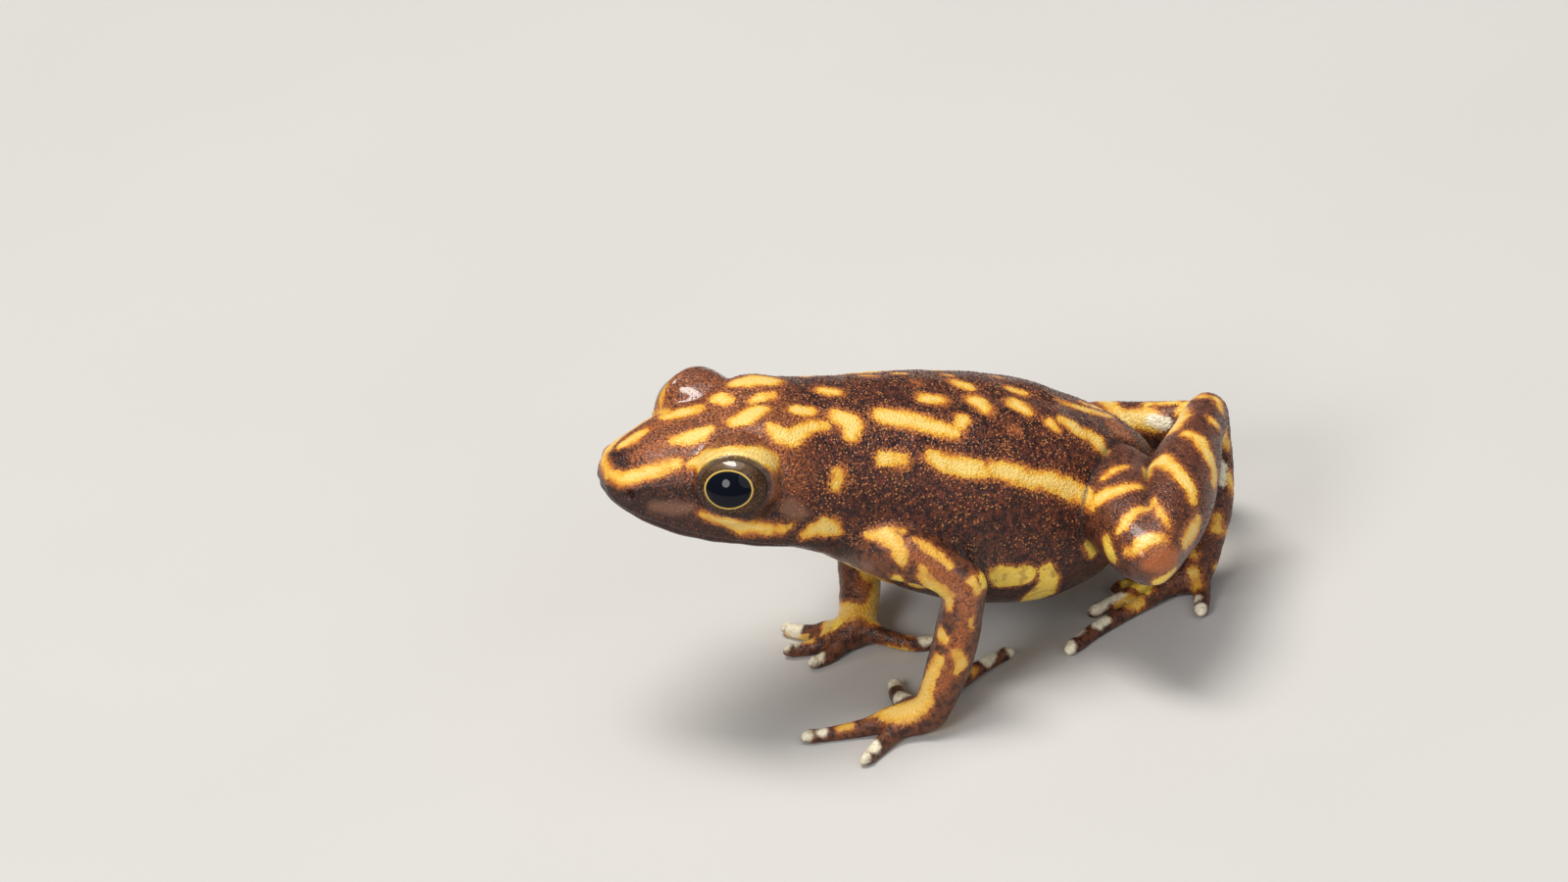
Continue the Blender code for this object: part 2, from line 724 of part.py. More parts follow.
def main():
    for obj in list(bpy.data.objects):
        bpy.data.objects.remove(obj)
    where = collection(NAME)
    cutters = collection("cutters", hidden=True)
    torso, swelling = make_trunk(where, cutters)
    nodes = {"torso": torso, "head": make_head(where, cutters)}
    for eye in make_eyes(where):
        nodes[eye.name] = eye
    for name, points in LIMBS.items():
        nodes[name] = tube(name, points, LIMB_SIDES, where)
    for name in DIGITS:
        nodes[name] = make_extremity(name, where, cutters)
    for name in BESIDE_TRUNK:
        boolean(nodes[name], swelling, "DIFFERENCE")
    for first, second in JOINTS:
        part_at_joint(nodes, first, second, cutters)
    floor = slab("floor_cut", (0, 0, 0), (0, 0, -1), CUT_REACH, cutters)
    for name in DIGITS:
        boolean(nodes[name], floor, "DIFFERENCE")
    corners = []
    for name, node in nodes.items():
        largest(node)
        corners += [vert.co.copy() for vert in node.data.vertices]
    low = [min(corner[i] for corner in corners) for i in range(3)]
    high = [max(corner[i] for corner in corners) for i in range(3)]
    shift = Matrix.Translation((-(low[0] + high[0]) / 2, -(low[1] + high[1]) / 2, -low[2]))
    for obj in bpy.data.objects:
        obj.data.transform(Matrix.Scale(METRES, 4) @ shift)
        if obj.name in nodes:
            colour, roughness = colour_of(obj.name)
            obj.data.materials.clear()
            obj.data.materials.append(material(obj.name + "_finish", colour, roughness))
            obj.data.polygons.foreach_set("use_smooth", [False] * len(obj.data.polygons))
        else:
            obj.hide_render = True
            obj.display_type = "WIRE"


main()
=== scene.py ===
"""Looks of a small poison frog that sits alert on its four feet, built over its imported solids.

Sizes are in millimetres, in the frog's resting frame: +X is its left side, +Y is behind it and
+Z is up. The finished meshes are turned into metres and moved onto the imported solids. The trunk
has its own frame inside that one: x to the left, y backwards along it and z up from its axis.
"""

import json
import logging
import math
from dataclasses import dataclass, field, fields
from enum import Enum

import bmesh
import bpy
import numpy as np
from mathutils import Matrix, Vector
from mathutils.bvhtree import BVHTree

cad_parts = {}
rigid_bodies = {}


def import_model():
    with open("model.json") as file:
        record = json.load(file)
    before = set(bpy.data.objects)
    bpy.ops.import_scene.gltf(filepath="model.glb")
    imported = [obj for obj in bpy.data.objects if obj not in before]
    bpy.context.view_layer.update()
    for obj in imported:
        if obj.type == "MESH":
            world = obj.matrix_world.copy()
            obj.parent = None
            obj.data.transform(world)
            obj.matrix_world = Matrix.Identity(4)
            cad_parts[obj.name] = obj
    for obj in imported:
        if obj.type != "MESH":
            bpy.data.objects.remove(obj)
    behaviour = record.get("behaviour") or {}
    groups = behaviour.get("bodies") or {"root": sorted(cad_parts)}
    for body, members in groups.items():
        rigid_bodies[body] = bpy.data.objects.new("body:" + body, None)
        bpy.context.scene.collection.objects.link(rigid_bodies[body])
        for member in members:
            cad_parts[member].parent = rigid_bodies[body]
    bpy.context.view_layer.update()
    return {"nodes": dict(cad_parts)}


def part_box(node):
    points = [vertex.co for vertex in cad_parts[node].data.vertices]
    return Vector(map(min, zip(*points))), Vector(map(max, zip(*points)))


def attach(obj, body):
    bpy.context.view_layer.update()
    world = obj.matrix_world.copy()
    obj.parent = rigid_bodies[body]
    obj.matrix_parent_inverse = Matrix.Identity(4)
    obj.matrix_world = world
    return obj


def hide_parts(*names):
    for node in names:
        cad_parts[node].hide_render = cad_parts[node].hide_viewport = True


LOG = logging.getLogger("frog")
METRES = 0.001
TINY = 1e-12
Numbers = tuple[float, ...]
# The middle of the solid left eye, in the trunk's frame
SOLID_EYE = (2.13, -5.74, 1.03)
# Odd factors that scatter a lattice corner's three numbers, the seed and the sum
SCATTER = (73856093, 19349663, 83492791, 2654435761, 1274126177)
LOW_BITS = 0xFFFF


class Tone(Enum):
    """The kinds of paint that a marking can have."""

    GOLD = "gold"
    CREAM = "cream"
    OLIVE = "olive"
    RUST = "rust"
    DUSK = "dusk"


class Side(Enum):
    """Where a marking lies: as the photograph shows it, on both sides alike, or on the hidden side alone."""

    SEEN = "seen"
    BOTH = "both"
    HIDDEN = "hidden"


GOLD, CREAM, OLIVE, RUST, DUSK = Tone
SEEN, BOTH, HIDDEN = Side


@dataclass(frozen=True)
class Step:
    """A soft step from 0 at its start to 1 at its end; where the end is the lower, it falls upwards."""

    start: float
    end: float

    def __call__(self, values: np.ndarray) -> np.ndarray:
        """The step's height, from 0 to 1, at each value."""
        t = np.clip((values - self.start) / (self.end - self.start), 0.0, 1.0)
        return t * t * (3.0 - 2.0 * t)


@dataclass(frozen=True)
class Bump:
    """A soft rise of a given height that has fallen to about a third at its width."""

    height: float
    width: float

    def __call__(self, distance: np.ndarray) -> np.ndarray:
        """The rise at each distance from its middle."""
        return self.height * np.exp(-((distance / self.width) ** 2))


def left_side(local: np.ndarray) -> np.ndarray:
    """Places in the trunk's frame, with those on the right mirrored to the left."""
    return np.column_stack([np.abs(local[:, 0]), local[:, 1:]])


def linked(name: str, data: bpy.types.ID) -> bpy.types.Object:
    """A new object in the scene."""
    made = bpy.data.objects.new(name, data)
    bpy.context.scene.collection.objects.link(made)
    return made


def applied(made: bpy.types.Object) -> bpy.types.Mesh:
    """A new mesh of an object with its modifiers applied."""
    bpy.context.view_layer.update()
    graph = bpy.context.evaluated_depsgraph_get()
    return bpy.data.meshes.new_from_object(made.evaluated_get(graph))


def store(mesh: bpy.types.Mesh, values: dict[str, np.ndarray]) -> None:
    """Smooths a mesh's shading and keeps numbers on its points.

    Args:
        mesh: the mesh.
        values: one number for each point, under each attribute's name.
    """
    for name, numbers in values.items():
        attribute = mesh.attributes.new(name, "FLOAT", "POINT")
        attribute.data.foreach_set("value", numbers.astype(np.float32))
    mesh.polygons.foreach_set("use_smooth", [True] * len(mesh.polygons))


def lattice_noise(points: np.ndarray, cell: float, seed: int) -> np.ndarray:
    """Smooth random values in space, the same on every run.

    Args:
        points: places, one row each.
        cell: the size of one blotch.
        seed: picks another pattern.

    Returns:
        One value from 0 to 1 for each point.
    """
    scaled = points / cell
    base = np.floor(scaled).astype(np.int64)
    part = scaled - base
    part = part * part * (3.0 - 2.0 * part)
    total = np.zeros(len(points))
    for corner in range(8):
        step = np.array([corner & 1, (corner >> 1) & 1, (corner >> 2) & 1])
        at = base + step
        mixed = at[:, 0] * SCATTER[0] ^ at[:, 1] * SCATTER[1] ^ at[:, 2] * SCATTER[2] ^ seed * SCATTER[3]
        mixed = (mixed ^ (mixed >> 13)) * SCATTER[4] & 0xFFFFFFFF
        mixed = (mixed ^ (mixed >> 16)) & LOW_BITS
        share = np.prod(np.where(step == 1, part, 1.0 - part), axis=1)
        total += share * mixed / LOW_BITS
    return total


def smooth_path(points: tuple[Numbers, ...], per_piece: int) -> np.ndarray:
    """A smooth path through the points, with every column carried along.

    Args:
        points: rows of x, y, z and a radius.
        per_piece: how many steps each piece between two points gets.

    Returns:
        The rows of the smooth path.
    """
    padded = [np.array(row, float) for row in (points[0], *points, points[-1])]
    path = []
    for index in range(1, len(padded) - 2):
        before, start, end, after = padded[index - 1 : index + 3]
        for step in range(per_piece):
            t = step / per_piece
            linear = (end - before) * t
            square = (2 * before - 5 * start + 4 * end - after) * t**2
            cube = (3 * start - before - 3 * end + after) * t**3
            path.append(0.5 * (2 * start + linear + square + cube))
    path.append(padded[-1])
    return np.array(path)


def nearest_on_path(points: np.ndarray, path: np.ndarray) -> tuple[np.ndarray, np.ndarray]:
    """How far each point is from a path, and where along it.

    Args:
        points: places, one row each.
        path: the path's rows; the first three columns are its places.

    Returns:
        The distances, and the places along the path counted in its pieces.
    """
    best = np.full(len(points), np.inf)
    where = np.zeros(len(points))
    for index in range(len(path) - 1):
        start = path[index, :3]
        along = path[index + 1, :3] - start
        t = np.clip((points - start) @ along / max(along @ along, TINY), 0.0, 1.0)
        distance = np.linalg.norm(points - start - t[:, None] * along, axis=1)
        closer = distance < best
        best[closer] = distance[closer]
        where[closer] = index + t[closer]
    return best, where


@dataclass
class Shell:
    """Closed surfaces gathered one after another into one mesh."""

    corners: list[np.ndarray] = field(default_factory=list)
    faces: list[tuple[int, ...]] = field(default_factory=list)
    count: int = 0

    def add(self, points: np.ndarray, faces: list[tuple[int, ...]]) -> None:
        """Adds one closed surface.

        Args:
            points: its corners, one row each.
            faces: its faces, by corner numbers.
        """
        self.faces.extend(tuple(corner + self.count for corner in face) for face in faces)
        self.corners.append(points)
        self.count += len(points)

    def add_rings(self, rings: list[np.ndarray]) -> None:
        """Adds a body through rings of equal count, closed by a face at both ends.

        Args:
            rings: one array of corners for each ring.
        """
        sides = len(rings[0])
        faces = [tuple(range(sides))[::-1]]
        for row in range(len(rings) - 1):
            for side in range(sides):
                after = (side + 1) % sides
                low = row * sides
                high = low + sides
                faces.append((low + side, low + after, high + after, high + side))
        last = (len(rings) - 1) * sides
        faces.append(tuple(range(last, last + sides)))
        self.add(np.concatenate(rings), faces)

    def add_tube(self, path: np.ndarray, sides: int) -> None:
        """Adds a round limb along a path whose fourth column is its radius, with ball-like ends.

        Args:
            path: rows of x, y, z and radius.
            sides: corners of one ring.
        """
        start = path[0, :3] - path[1, :3]
        end = path[-1, :3] - path[-2, :3]
        start /= np.linalg.norm(start)
        end /= np.linalg.norm(end)
        front = []
        back = []
        for share in (0.3, 0.6, 0.8, 0.93, 0.99):
            narrow = math.sqrt(1 - share * share)
            front.insert(0, np.append(path[0, :3] + start * path[0, 3] * share, path[0, 3] * narrow))
            back.append(np.append(path[-1, :3] + end * path[-1, 3] * share, path[-1, 3] * narrow))
        rows = np.vstack([front, path, back])
        tangents = np.gradient(rows[:, :3], axis=0)
        tangents /= np.linalg.norm(tangents, axis=1)[:, None]
        side = np.cross(tangents[0], (0.31, 0.17, 0.93))
        side /= np.linalg.norm(side)
        rings = []
        angles = np.linspace(0, 2 * math.pi, sides, endpoint=False)
        for row, tangent in zip(rows, tangents):
            side = side - (side @ tangent) * tangent
            side /= np.linalg.norm(side)
            other = np.cross(tangent, side)
            offsets = np.outer(np.cos(angles), side) + np.outer(np.sin(angles), other)
            rings.append(row[:3] + row[3] * offsets)
        self.add_rings(rings)

    def add_ball(self, centre: Numbers, radii: Numbers, turn: float = 0.0, rows: int = 16) -> None:
        """Adds an ellipsoid.

        Args:
            centre: its middle.
            radii: its half sizes.
            turn: its turn about the upright, in radians.
            rows: rings from pole to pole.
        """
        rings = []
        sides = 2 * rows
        angles = np.linspace(0, 2 * math.pi, sides, endpoint=False)
        for row in range(1, rows):
            tilt = math.pi * row / rows
            ring = np.stack(
                [
                    math.sin(tilt) * np.cos(angles) * radii[0],
                    math.sin(tilt) * np.sin(angles) * radii[1],
                    np.full(sides, -math.cos(tilt) * radii[2]),
                ],
                axis=1,
            )
            turned = ring.copy()
            turned[:, 0] = ring[:, 0] * math.cos(turn) - ring[:, 1] * math.sin(turn)
            turned[:, 1] = ring[:, 0] * math.sin(turn) + ring[:, 1] * math.cos(turn)
            rings.append(turned + np.array(centre))
        self.add_rings(rings)

    def mesh(self, name: str) -> bpy.types.Mesh:
        """The gathered surfaces as one Blender mesh whose faces point outwards."""
        made = bpy.data.meshes.new(name)
        made.from_pydata(np.concatenate(self.corners).tolist(), [], self.faces)
        sheet = bmesh.new()
        sheet.from_mesh(made)
        bmesh.ops.recalc_face_normals(sheet, faces=sheet.faces)
        sheet.to_mesh(made)
        sheet.free()
        return made


@dataclass(frozen=True)
class Viewpoint:
    """The photograph's camera, measured from the frog's resting frame.

    The photograph is 1600 by 900 pixels. The camera looks at its middle from a long way off.
    """

    distance: float = 230.0
    azimuth: float = math.radians(14.14)
    elevation: float = math.radians(31.96)
    roll: float = math.radians(9.51)
    pixels_per_mm: float = 36.51
    origin_pixel: Numbers = (959.1, 657.83)
    size: Numbers = (1600.0, 900.0)
    sensor: float = 36.0

    def axes(self) -> tuple[np.ndarray, np.ndarray, np.ndarray]:
        """Unit vectors to the right, up and back towards the camera, for the frog's origin."""
        flat = math.cos(self.elevation)
        level = np.array([math.cos(self.azimuth), -math.sin(self.azimuth)]) * flat
        back = np.append(level, math.sin(self.elevation))
        level = np.array([math.sin(self.azimuth), math.cos(self.azimuth), 0.0])
        above = np.cross(back, level)
        right = math.cos(self.roll) * level - math.sin(self.roll) * above
        up = math.sin(self.roll) * level + math.cos(self.roll) * above
        return right, up, back

    def ray(self, x: float, y: float) -> tuple[np.ndarray, np.ndarray]:
        """The line of sight through a pixel of the photograph.

        Args:
            x: pixels from the left.
            y: pixels from the top.

        Returns:
            Where the line starts, and its unit direction.
        """
        right, up, back = self.axes()
        focal = self.pixels_per_mm * self.distance
        across = (x - self.origin_pixel[0]) / focal
        rise = (self.origin_pixel[1] - y) / focal
        line = right * across + up * rise - back
        return back * self.distance, line / np.linalg.norm(line)

    def build(self, shift: np.ndarray) -> bpy.types.Object:
        """Places the camera so that it looks along the line of sight of the photograph's middle.

        Args:
            shift: from the frog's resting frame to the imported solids' frame.

        Returns:
            The camera object.
        """
        place, forward = self.ray(self.size[0] / 2, self.size[1] / 2)
        right, _, _ = self.axes()
        right = right - (right @ forward) * forward
        right /= np.linalg.norm(right)
        up = np.cross(right, forward)
        data = bpy.data.cameras.new("photo_camera")
        data.sensor_width = self.sensor
        data.lens = self.sensor * self.pixels_per_mm * self.distance / self.size[0]
        data.clip_start = 0.01
        data.clip_end = 20.0
        made = linked("photo_camera", data)
        matrix = Matrix.Identity(4)
        for row in range(3):
            matrix[row][0] = right[row]
            matrix[row][1] = up[row]
            matrix[row][2] = -forward[row]
            matrix[row][3] = (place[row] + shift[row]) * METRES
        made.matrix_world = matrix
        bpy.context.scene.camera = made
        return made


@dataclass
class TrunkForm:
    """Head and body in one, as sections across the trunk's own axis.

    Each section holds y, half width, height of the widest line, top, bottom, and how square it
    is above and below that line.
    """

    origin: Numbers = (-0.42, 0.0, 5.55)
    pitch: float = math.radians(15.4)
    lean: float = math.radians(4.0)
    sections: tuple[Numbers, ...] = (
        (-8.92, 0.05, 0.22, 0.28, 0.16, 2.0, 2.0),
        (-8.84, 0.60, 0.18, 0.56, -0.14, 2.1, 2.0),
        (-8.60, 0.98, 0.06, 0.82, -0.33, 2.2, 2.0),
        (-8.20, 1.33, -0.06, 1.14, -0.57, 2.3, 2.0),
        (-7.60, 1.68, -0.20, 1.50, -0.83, 2.4, 2.1),
        (-6.80, 2.12, -0.28, 1.80, -1.01, 2.5, 2.1),
        (-5.90, 2.47, -0.31, 2.06, -1.10, 2.5, 2.1),
        (-5.00, 2.71, -0.27, 2.26, -1.17, 2.5, 2.1),
        (-4.00, 2.84, -0.20, 2.42, -1.33, 2.4, 2.1),
        (-3.00, 2.86, -0.22, 2.52, -1.70, 2.3, 2.1),
        (-2.00, 2.95, -0.38, 2.58, -2.26, 2.2, 2.1),
        (-0.80, 3.18, -0.63, 2.58, -2.88, 2.2, 2.1),
        (0.60, 3.44, -0.87, 2.51, -3.36, 2.2, 2.1),
        (2.00, 3.58, -1.00, 2.36, -3.64, 2.2, 2.1),
        (3.40, 3.50, -1.02, 2.10, -3.62, 2.2, 2.1),
        (4.70, 3.15, -0.93, 1.73, -3.25, 2.1, 2.1),
        (5.80, 2.58, -0.78, 1.28, -2.60, 2.1, 2.1),
        (6.60, 1.95, -0.60, 0.85, -1.90, 2.0, 2.0),
        (7.15, 1.20, -0.40, 0.40, -1.20, 2.0, 2.0),
        (7.42, 0.05, -0.30, -0.22, -0.38, 2.0, 2.0),
    )
    rings: int = 110
    sides: int = 72
    bulge_centre: Numbers = (1.86, -5.72, 1.00)
    bulge_radius: float = 1.22

    def turn(self) -> np.ndarray:
        """The rotation from the trunk's frame to the resting frame."""
        tilt = Matrix.Rotation(-self.pitch, 3, "X") @ Matrix.Rotation(self.lean, 3, "Y")
        return np.array(tilt)

    def outward(self, points: np.ndarray) -> np.ndarray:
        """Places in the trunk's frame, given in the resting frame."""
        return points @ self.turn().T + np.array(self.origin)

    def inward(self, points: np.ndarray) -> np.ndarray:
        """Places in the resting frame, given in the trunk's frame."""
        return (points - np.array(self.origin)) @ self.turn()

    def sizes_at(self, y: np.ndarray) -> np.ndarray:
        """Section sizes at any places along the axis, by a monotone cubic through the table.

        Args:
            y: places along the trunk's axis.

        Returns:
            One row of the six section sizes for each place.
        """
        table = np.array(self.sections)
        places = table[:, 0]
        values = table[:, 1:]
        steps = np.diff(places)[:, None]
        slopes = np.diff(values, axis=0) / steps
        tangents = np.zeros_like(values)
        same = slopes[:-1] * slopes[1:] > 0
        before = 2 * steps[1:] + steps[:-1]
        after = steps[1:] + 2 * steps[:-1]
        low = np.where(same, slopes[:-1], 1.0)
        high = np.where(same, slopes[1:], 1.0)
        tangents[1:-1] = np.where(same, (before + after) / (before / low + after / high), 0.0)
        tangents[0] = slopes[0]
        tangents[-1] = slopes[-1]
        at = np.clip(y, places[0], places[-1])
        index = np.clip(np.searchsorted(places, at) - 1, 0, len(places) - 2)
        step = steps[index]
        t = (at - places[index])[:, None] / step
        first = (1 + 2 * t) * (1 - t) ** 2 * values[index]
        second = t * (1 - t) ** 2 * step * tangents[index]
        third = t * t * (3 - 2 * t) * values[index + 1]
        fourth = t * t * (t - 1) * step * tangents[index + 1]
        return first + second + third + fourth

    def flank(self, y: float, z: float) -> float:
        """How far the trunk reaches sideways at a place along it and a height."""
        half, middle, top, bottom, upper, lower = self.sizes_at(np.array([y]))[0]
        rise = (z - middle) / (top - middle) if z >= middle else (middle - z) / (middle - bottom)
        power = upper if z >= middle else lower
        return float(half * max(0.0, 1 - min(1.0, rise) ** power) ** (1 / power))

    def reach(self, points: np.ndarray) -> np.ndarray:
        """About how far each place, given in the trunk's frame, is outside the trunk."""
        half, middle, top, bottom, upper, lower = self.sizes_at(points[:, 1]).T
        above = points[:, 2] >= middle
        height = np.where(above, top - middle, middle - bottom)
        power = np.where(above, upper, lower)
        across = np.abs(points[:, 0]) / np.maximum(half, 0.05)
        rise = np.abs(points[:, 2] - middle) / np.maximum(height, 0.05)
        ratio = (across**power + rise**power) ** (1 / power)
        beyond = np.maximum(self.sections[0][0] - points[:, 1], points[:, 1] - self.sections[-1][0])
        return (ratio - 1) * np.minimum(half, height) + np.maximum(beyond, 0.0)

    def build(self, shell: Shell) -> None:
        """Adds the trunk and the two swellings over the eyes to the shell."""
        angles = np.linspace(0, 2 * math.pi, self.sides, endpoint=False)
        c = np.cos(angles)
        s = np.sin(angles)
        t = np.linspace(0, 1, self.rings)
        t = t - 0.09 * np.sin(2 * math.pi * t)
        places = self.sections[0][0] + (self.sections[-1][0] - self.sections[0][0]) * t
        rings = []
        for y, row in zip(places, self.sizes_at(places)):
            half, middle, top, bottom, upper, lower = row
            power = 2 / np.where(s >= 0, upper, lower)
            height = np.where(s >= 0, top - middle, middle - bottom)
            x = half * np.sign(c) * np.abs(c) ** power
            z = middle + height * np.sign(s) * np.abs(s) ** power
            rings.append(self.outward(np.stack([x, np.full(self.sides, y), z], axis=1)))
        shell.add_rings(rings)
        for side in (1, -1):
            x, y, z = self.bulge_centre
            centre = self.outward(np.array([[side * x, y, z]]))[0]
            shell.add_ball(tuple(centre), (self.bulge_radius,) * 3, rows=24)


@dataclass
class LimbForm:
    """One piece of a limb, or one digit, as a path with a radius at each point."""

    name: str
    points: tuple[Numbers, ...]
    per_piece: int = 8
    sides: int = 28

    def path(self) -> np.ndarray:
        """The smooth path with its radius."""
        return smooth_path(self.points, self.per_piece)

    def build(self, shell: Shell) -> None:
        """Adds the limb piece to the shell."""
        shell.add_tube(self.path(), self.sides)

    def reach(self, points: np.ndarray) -> np.ndarray:
        """How far each place is outside this piece."""
        path = smooth_path(self.points, 3)
        distance, where = nearest_on_path(points, path)
        radius = np.interp(where, np.arange(len(path)), path[:, 3])
        return distance - radius


@dataclass
class ExtremityForm:
    """A hand or a foot: digits that grow from one palm and end in flat discs."""

    name: str
    digits: tuple[tuple[Numbers, ...], ...]
    disc: Numbers
    palm: Numbers
    palm_height: float = 0.33
    disc_height: float = 0.15
    knuckle: float = 1.22

    def forms(self) -> list[LimbForm]:
        """The digits, with the joint nearest each disc swollen as the pad under it is."""
        made = []
        for index, points in enumerate(self.digits):
            x, y, z, radius = points[-2]
            swollen = points[:-2] + ((x, y, z, radius * self.knuckle), points[-1])
            made.append(LimbForm(f"{self.name}_{index}", swollen, 6, 16))
        return made

    def build(self, shell: Shell) -> None:
        """Adds palm, digits and discs to the shell."""
        start = np.array(self.digits[0][0][:3])
        toward = np.array(self.digits[0][1][:3]) - start
        share, length, width, height = self.palm
        middle = start + toward * share
        turn = math.atan2(toward[1], toward[0]) - math.pi / 2
        shell.add_ball((middle[0], middle[1], self.palm_height), (width, length, height), turn)
        for form in self.forms():
            form.build(shell)
        length, width, height = self.disc
        for points in self.digits:
            x, y = points[-1][:2]
            turn = math.atan2(y - points[-2][1], x - points[-2][0]) - math.pi / 2
            shell.add_ball((x, y, self.disc_height), (width, length, height), turn, rows=12)

    def reach(self, points: np.ndarray) -> np.ndarray:
        """How far each place is outside the hand or foot."""
        return np.min([form.reach(points) for form in self.forms()], axis=0)


@dataclass
class EyeForm:
    """One eye: a globe, its gaze and the opening between the lids, in the trunk's frame, left side."""

    centre: Numbers = (1.98, -5.72, 1.02)
    radius: float = 1.10
    gaze: Numbers = (0.816, -0.430, 0.375)
    opening_across: float = math.radians(58.0)
    opening_above: float = math.radians(43.5)
    opening_below: float = math.radians(41.0)

    def axes(self) -> tuple[np.ndarray, np.ndarray, np.ndarray]:
        """Unit vectors along the gaze, backwards across it and up across it."""
        gaze = np.array(self.gaze)
        gaze /= np.linalg.norm(gaze)
        back = np.array([0.0, 1.0, 0.0])
        back = back - (back @ gaze) * gaze
        back /= np.linalg.norm(back)
        return gaze, back, np.cross(gaze, back)

    def angles(self, points: np.ndarray) -> tuple[np.ndarray, np.ndarray, np.ndarray]:
        """Where places lie as seen from the middle of the left eye.

        Args:
            points: places in the trunk's frame, on the left side.

        Returns:
            Angles backwards and upwards from the gaze, and distances from the middle.
        """
        gaze, back, up = self.axes()
        away = points - np.array(self.centre)
        distance = np.linalg.norm(away, axis=1)
        unit = away / np.maximum(distance, 1e-9)[:, None]
        tilt = np.arccos(np.clip(unit @ gaze, -1, 1))
        spin = np.arctan2(unit @ up, unit @ back)
        return tilt * np.cos(spin), tilt * np.sin(spin), distance

    def opening(self, points: np.ndarray) -> tuple[np.ndarray, np.ndarray]:
        """How far out from the gaze places lie, where 1 is the edge of the lids.

        Args:
            points: places in the trunk's frame, on the left side.

        Returns:
            The shares of the way to the edge, and distances from the eye's middle.
        """
        across, rise, distance = self.angles(points)
        half = np.where(rise > 0, self.opening_above, self.opening_below)
        return np.hypot(across / self.opening_across, rise / half), distance


@dataclass(frozen=True)
class FaceForm:
    """Mouth, lips, nostrils, eardrums and the ridges of the face, in the trunk's frame."""

    corner: Numbers = (-4.25, -0.62)
    front: Numbers = (-8.86, -0.02)
    mouth_steps: int = 26
    mouth_bend: float = 1.4
    groove: Bump = Bump(0.10, 0.055)
    groove_end: Step = Step(-4.1, -4.4)
    groove_at_tip: float = 0.35
    snout_tip: Step = Step(0.15, 0.9)
    lip_rise: float = 0.17
    lip_reach: Bump = Bump(1.0, 0.16)
    lip_end: Step = Step(-3.9, -4.5)
    upper_lip: Bump = Bump(0.045, 0.12)
    lower_lip: Bump = Bump(0.027, 0.11)
    nostril: Numbers = (-8.42, 0.34)
    nostril_hole: Bump = Bump(0.15, 0.09)
    nostril_rim: Bump = Bump(0.045, 0.07)
    nostril_rim_radius: float = 0.19
    eardrum: Numbers = (-4.05, 0.02)
    eardrum_edge: Step = Step(0.40, 0.28)
    eardrum_depth: float = 0.045
    eardrum_rim: Bump = Bump(0.035, 0.06)
    eardrum_rim_radius: float = 0.43
    eardrum_knob: Bump = Bump(0.015, 0.12)
    fold: tuple[Numbers, ...] = ((-4.75, 0.85), (-4.15, 0.78), (-3.60, 0.45), (-3.25, -0.05), (-3.10, -0.60))
    fold_crest: Bump = Bump(0.055, 0.16)
    ridge: tuple[Numbers, ...] = ((-6.95, 0.92), (-7.50, 0.80), (-8.05, 0.66), (-8.50, 0.52))
    ridge_crest: Bump = Bump(0.05, 0.18)

    def mouth(self, trunk: TrunkForm) -> np.ndarray:
        """The line of the mouth from one corner round the snout to the other.

        Args:
            trunk: the trunk on whose surface it lies.

        Returns:
            Rows of places in the trunk's frame.
        """
        left = []
        for t in np.linspace(0, 1, self.mouth_steps):
            y = self.corner[0] + (self.front[0] - self.corner[0]) * math.sin(t * math.pi / 2)
            z = self.corner[1] + (self.front[1] - self.corner[1]) * t**self.mouth_bend
            left.append((trunk.flank(y, z), y, z))
        left[-1] = (0.0, *left[-1][1:])
        right = [(-x, y, z) for x, y, z in left[:-1]]
        return np.array(right + left[::-1])

    def on_flank(self, trunk: TrunkForm, places: tuple[Numbers, ...], side: int) -> np.ndarray:
        """Lifts (y, z) pairs onto the trunk's side.

        Args:
            trunk: the trunk that carries them.
            places: pairs of y and z.
            side: 1 for left and -1 for right.

        Returns:
            Rows of places in the trunk's frame.
        """
        return np.array([(side * trunk.flank(y, z), y, z) for y, z in places])

    def heights(self, local: np.ndarray, trunk: TrunkForm) -> np.ndarray:
        """How far the face's details lift or sink the skin.

        Args:
            local: places in the trunk's frame.
            trunk: the trunk that carries them.

        Returns:
            One height for each place.
        """
        mouth = self.mouth(trunk)
        distance, where = nearest_on_path(local, mouth)
        above = local[:, 2] - np.interp(where, np.arange(len(mouth)), mouth[:, 2])
        aside = self.snout_tip(np.abs(local[:, 0]))
        height = -self.groove(distance) * self.groove_end(local[:, 1])
        height *= self.groove_at_tip + (1 - self.groove_at_tip) * aside
        near = self.lip_reach(np.maximum(distance - self.lip_rise, 0.0)) * aside * self.lip_end(local[:, 1])
        height += (self.upper_lip(above - self.lip_rise) + self.lower_lip(above + self.lip_rise)) * near
        for side in (1, -1):
            hole, drum = (
                np.linalg.norm(local - self.on_flank(trunk, (place,), side)[0], axis=1)
                for place in (self.nostril, self.eardrum)
            )
            height += self.nostril_rim(hole - self.nostril_rim_radius) - self.nostril_hole(hole)
            height += self.eardrum_rim(drum - self.eardrum_rim_radius) + self.eardrum_knob(drum)
            height -= self.eardrum_depth * self.eardrum_edge(drum)
            for line, crest in ((self.fold, self.fold_crest), (self.ridge, self.ridge_crest)):
                height += crest(nearest_on_path(local, self.on_flank(trunk, line, side))[0])
        return height


@dataclass(frozen=True)
class Stroke:
    """A marking as read off the photograph: a line of pixels, each with half the stroke's width."""

    tone: Tone
    side: Side
    line: tuple[Numbers, ...]


def stroke(tone: Tone, side: Side, *line: Numbers) -> Stroke:
    """A stroke through the given pixels; each is x, y and half the width there.

    Args:
        tone: its paint.
        side: the side of the frog that it lies on.
        *line: the pixels, in drawing order.

    Returns:
        The stroke.
    """
    return Stroke(tone, side, line)


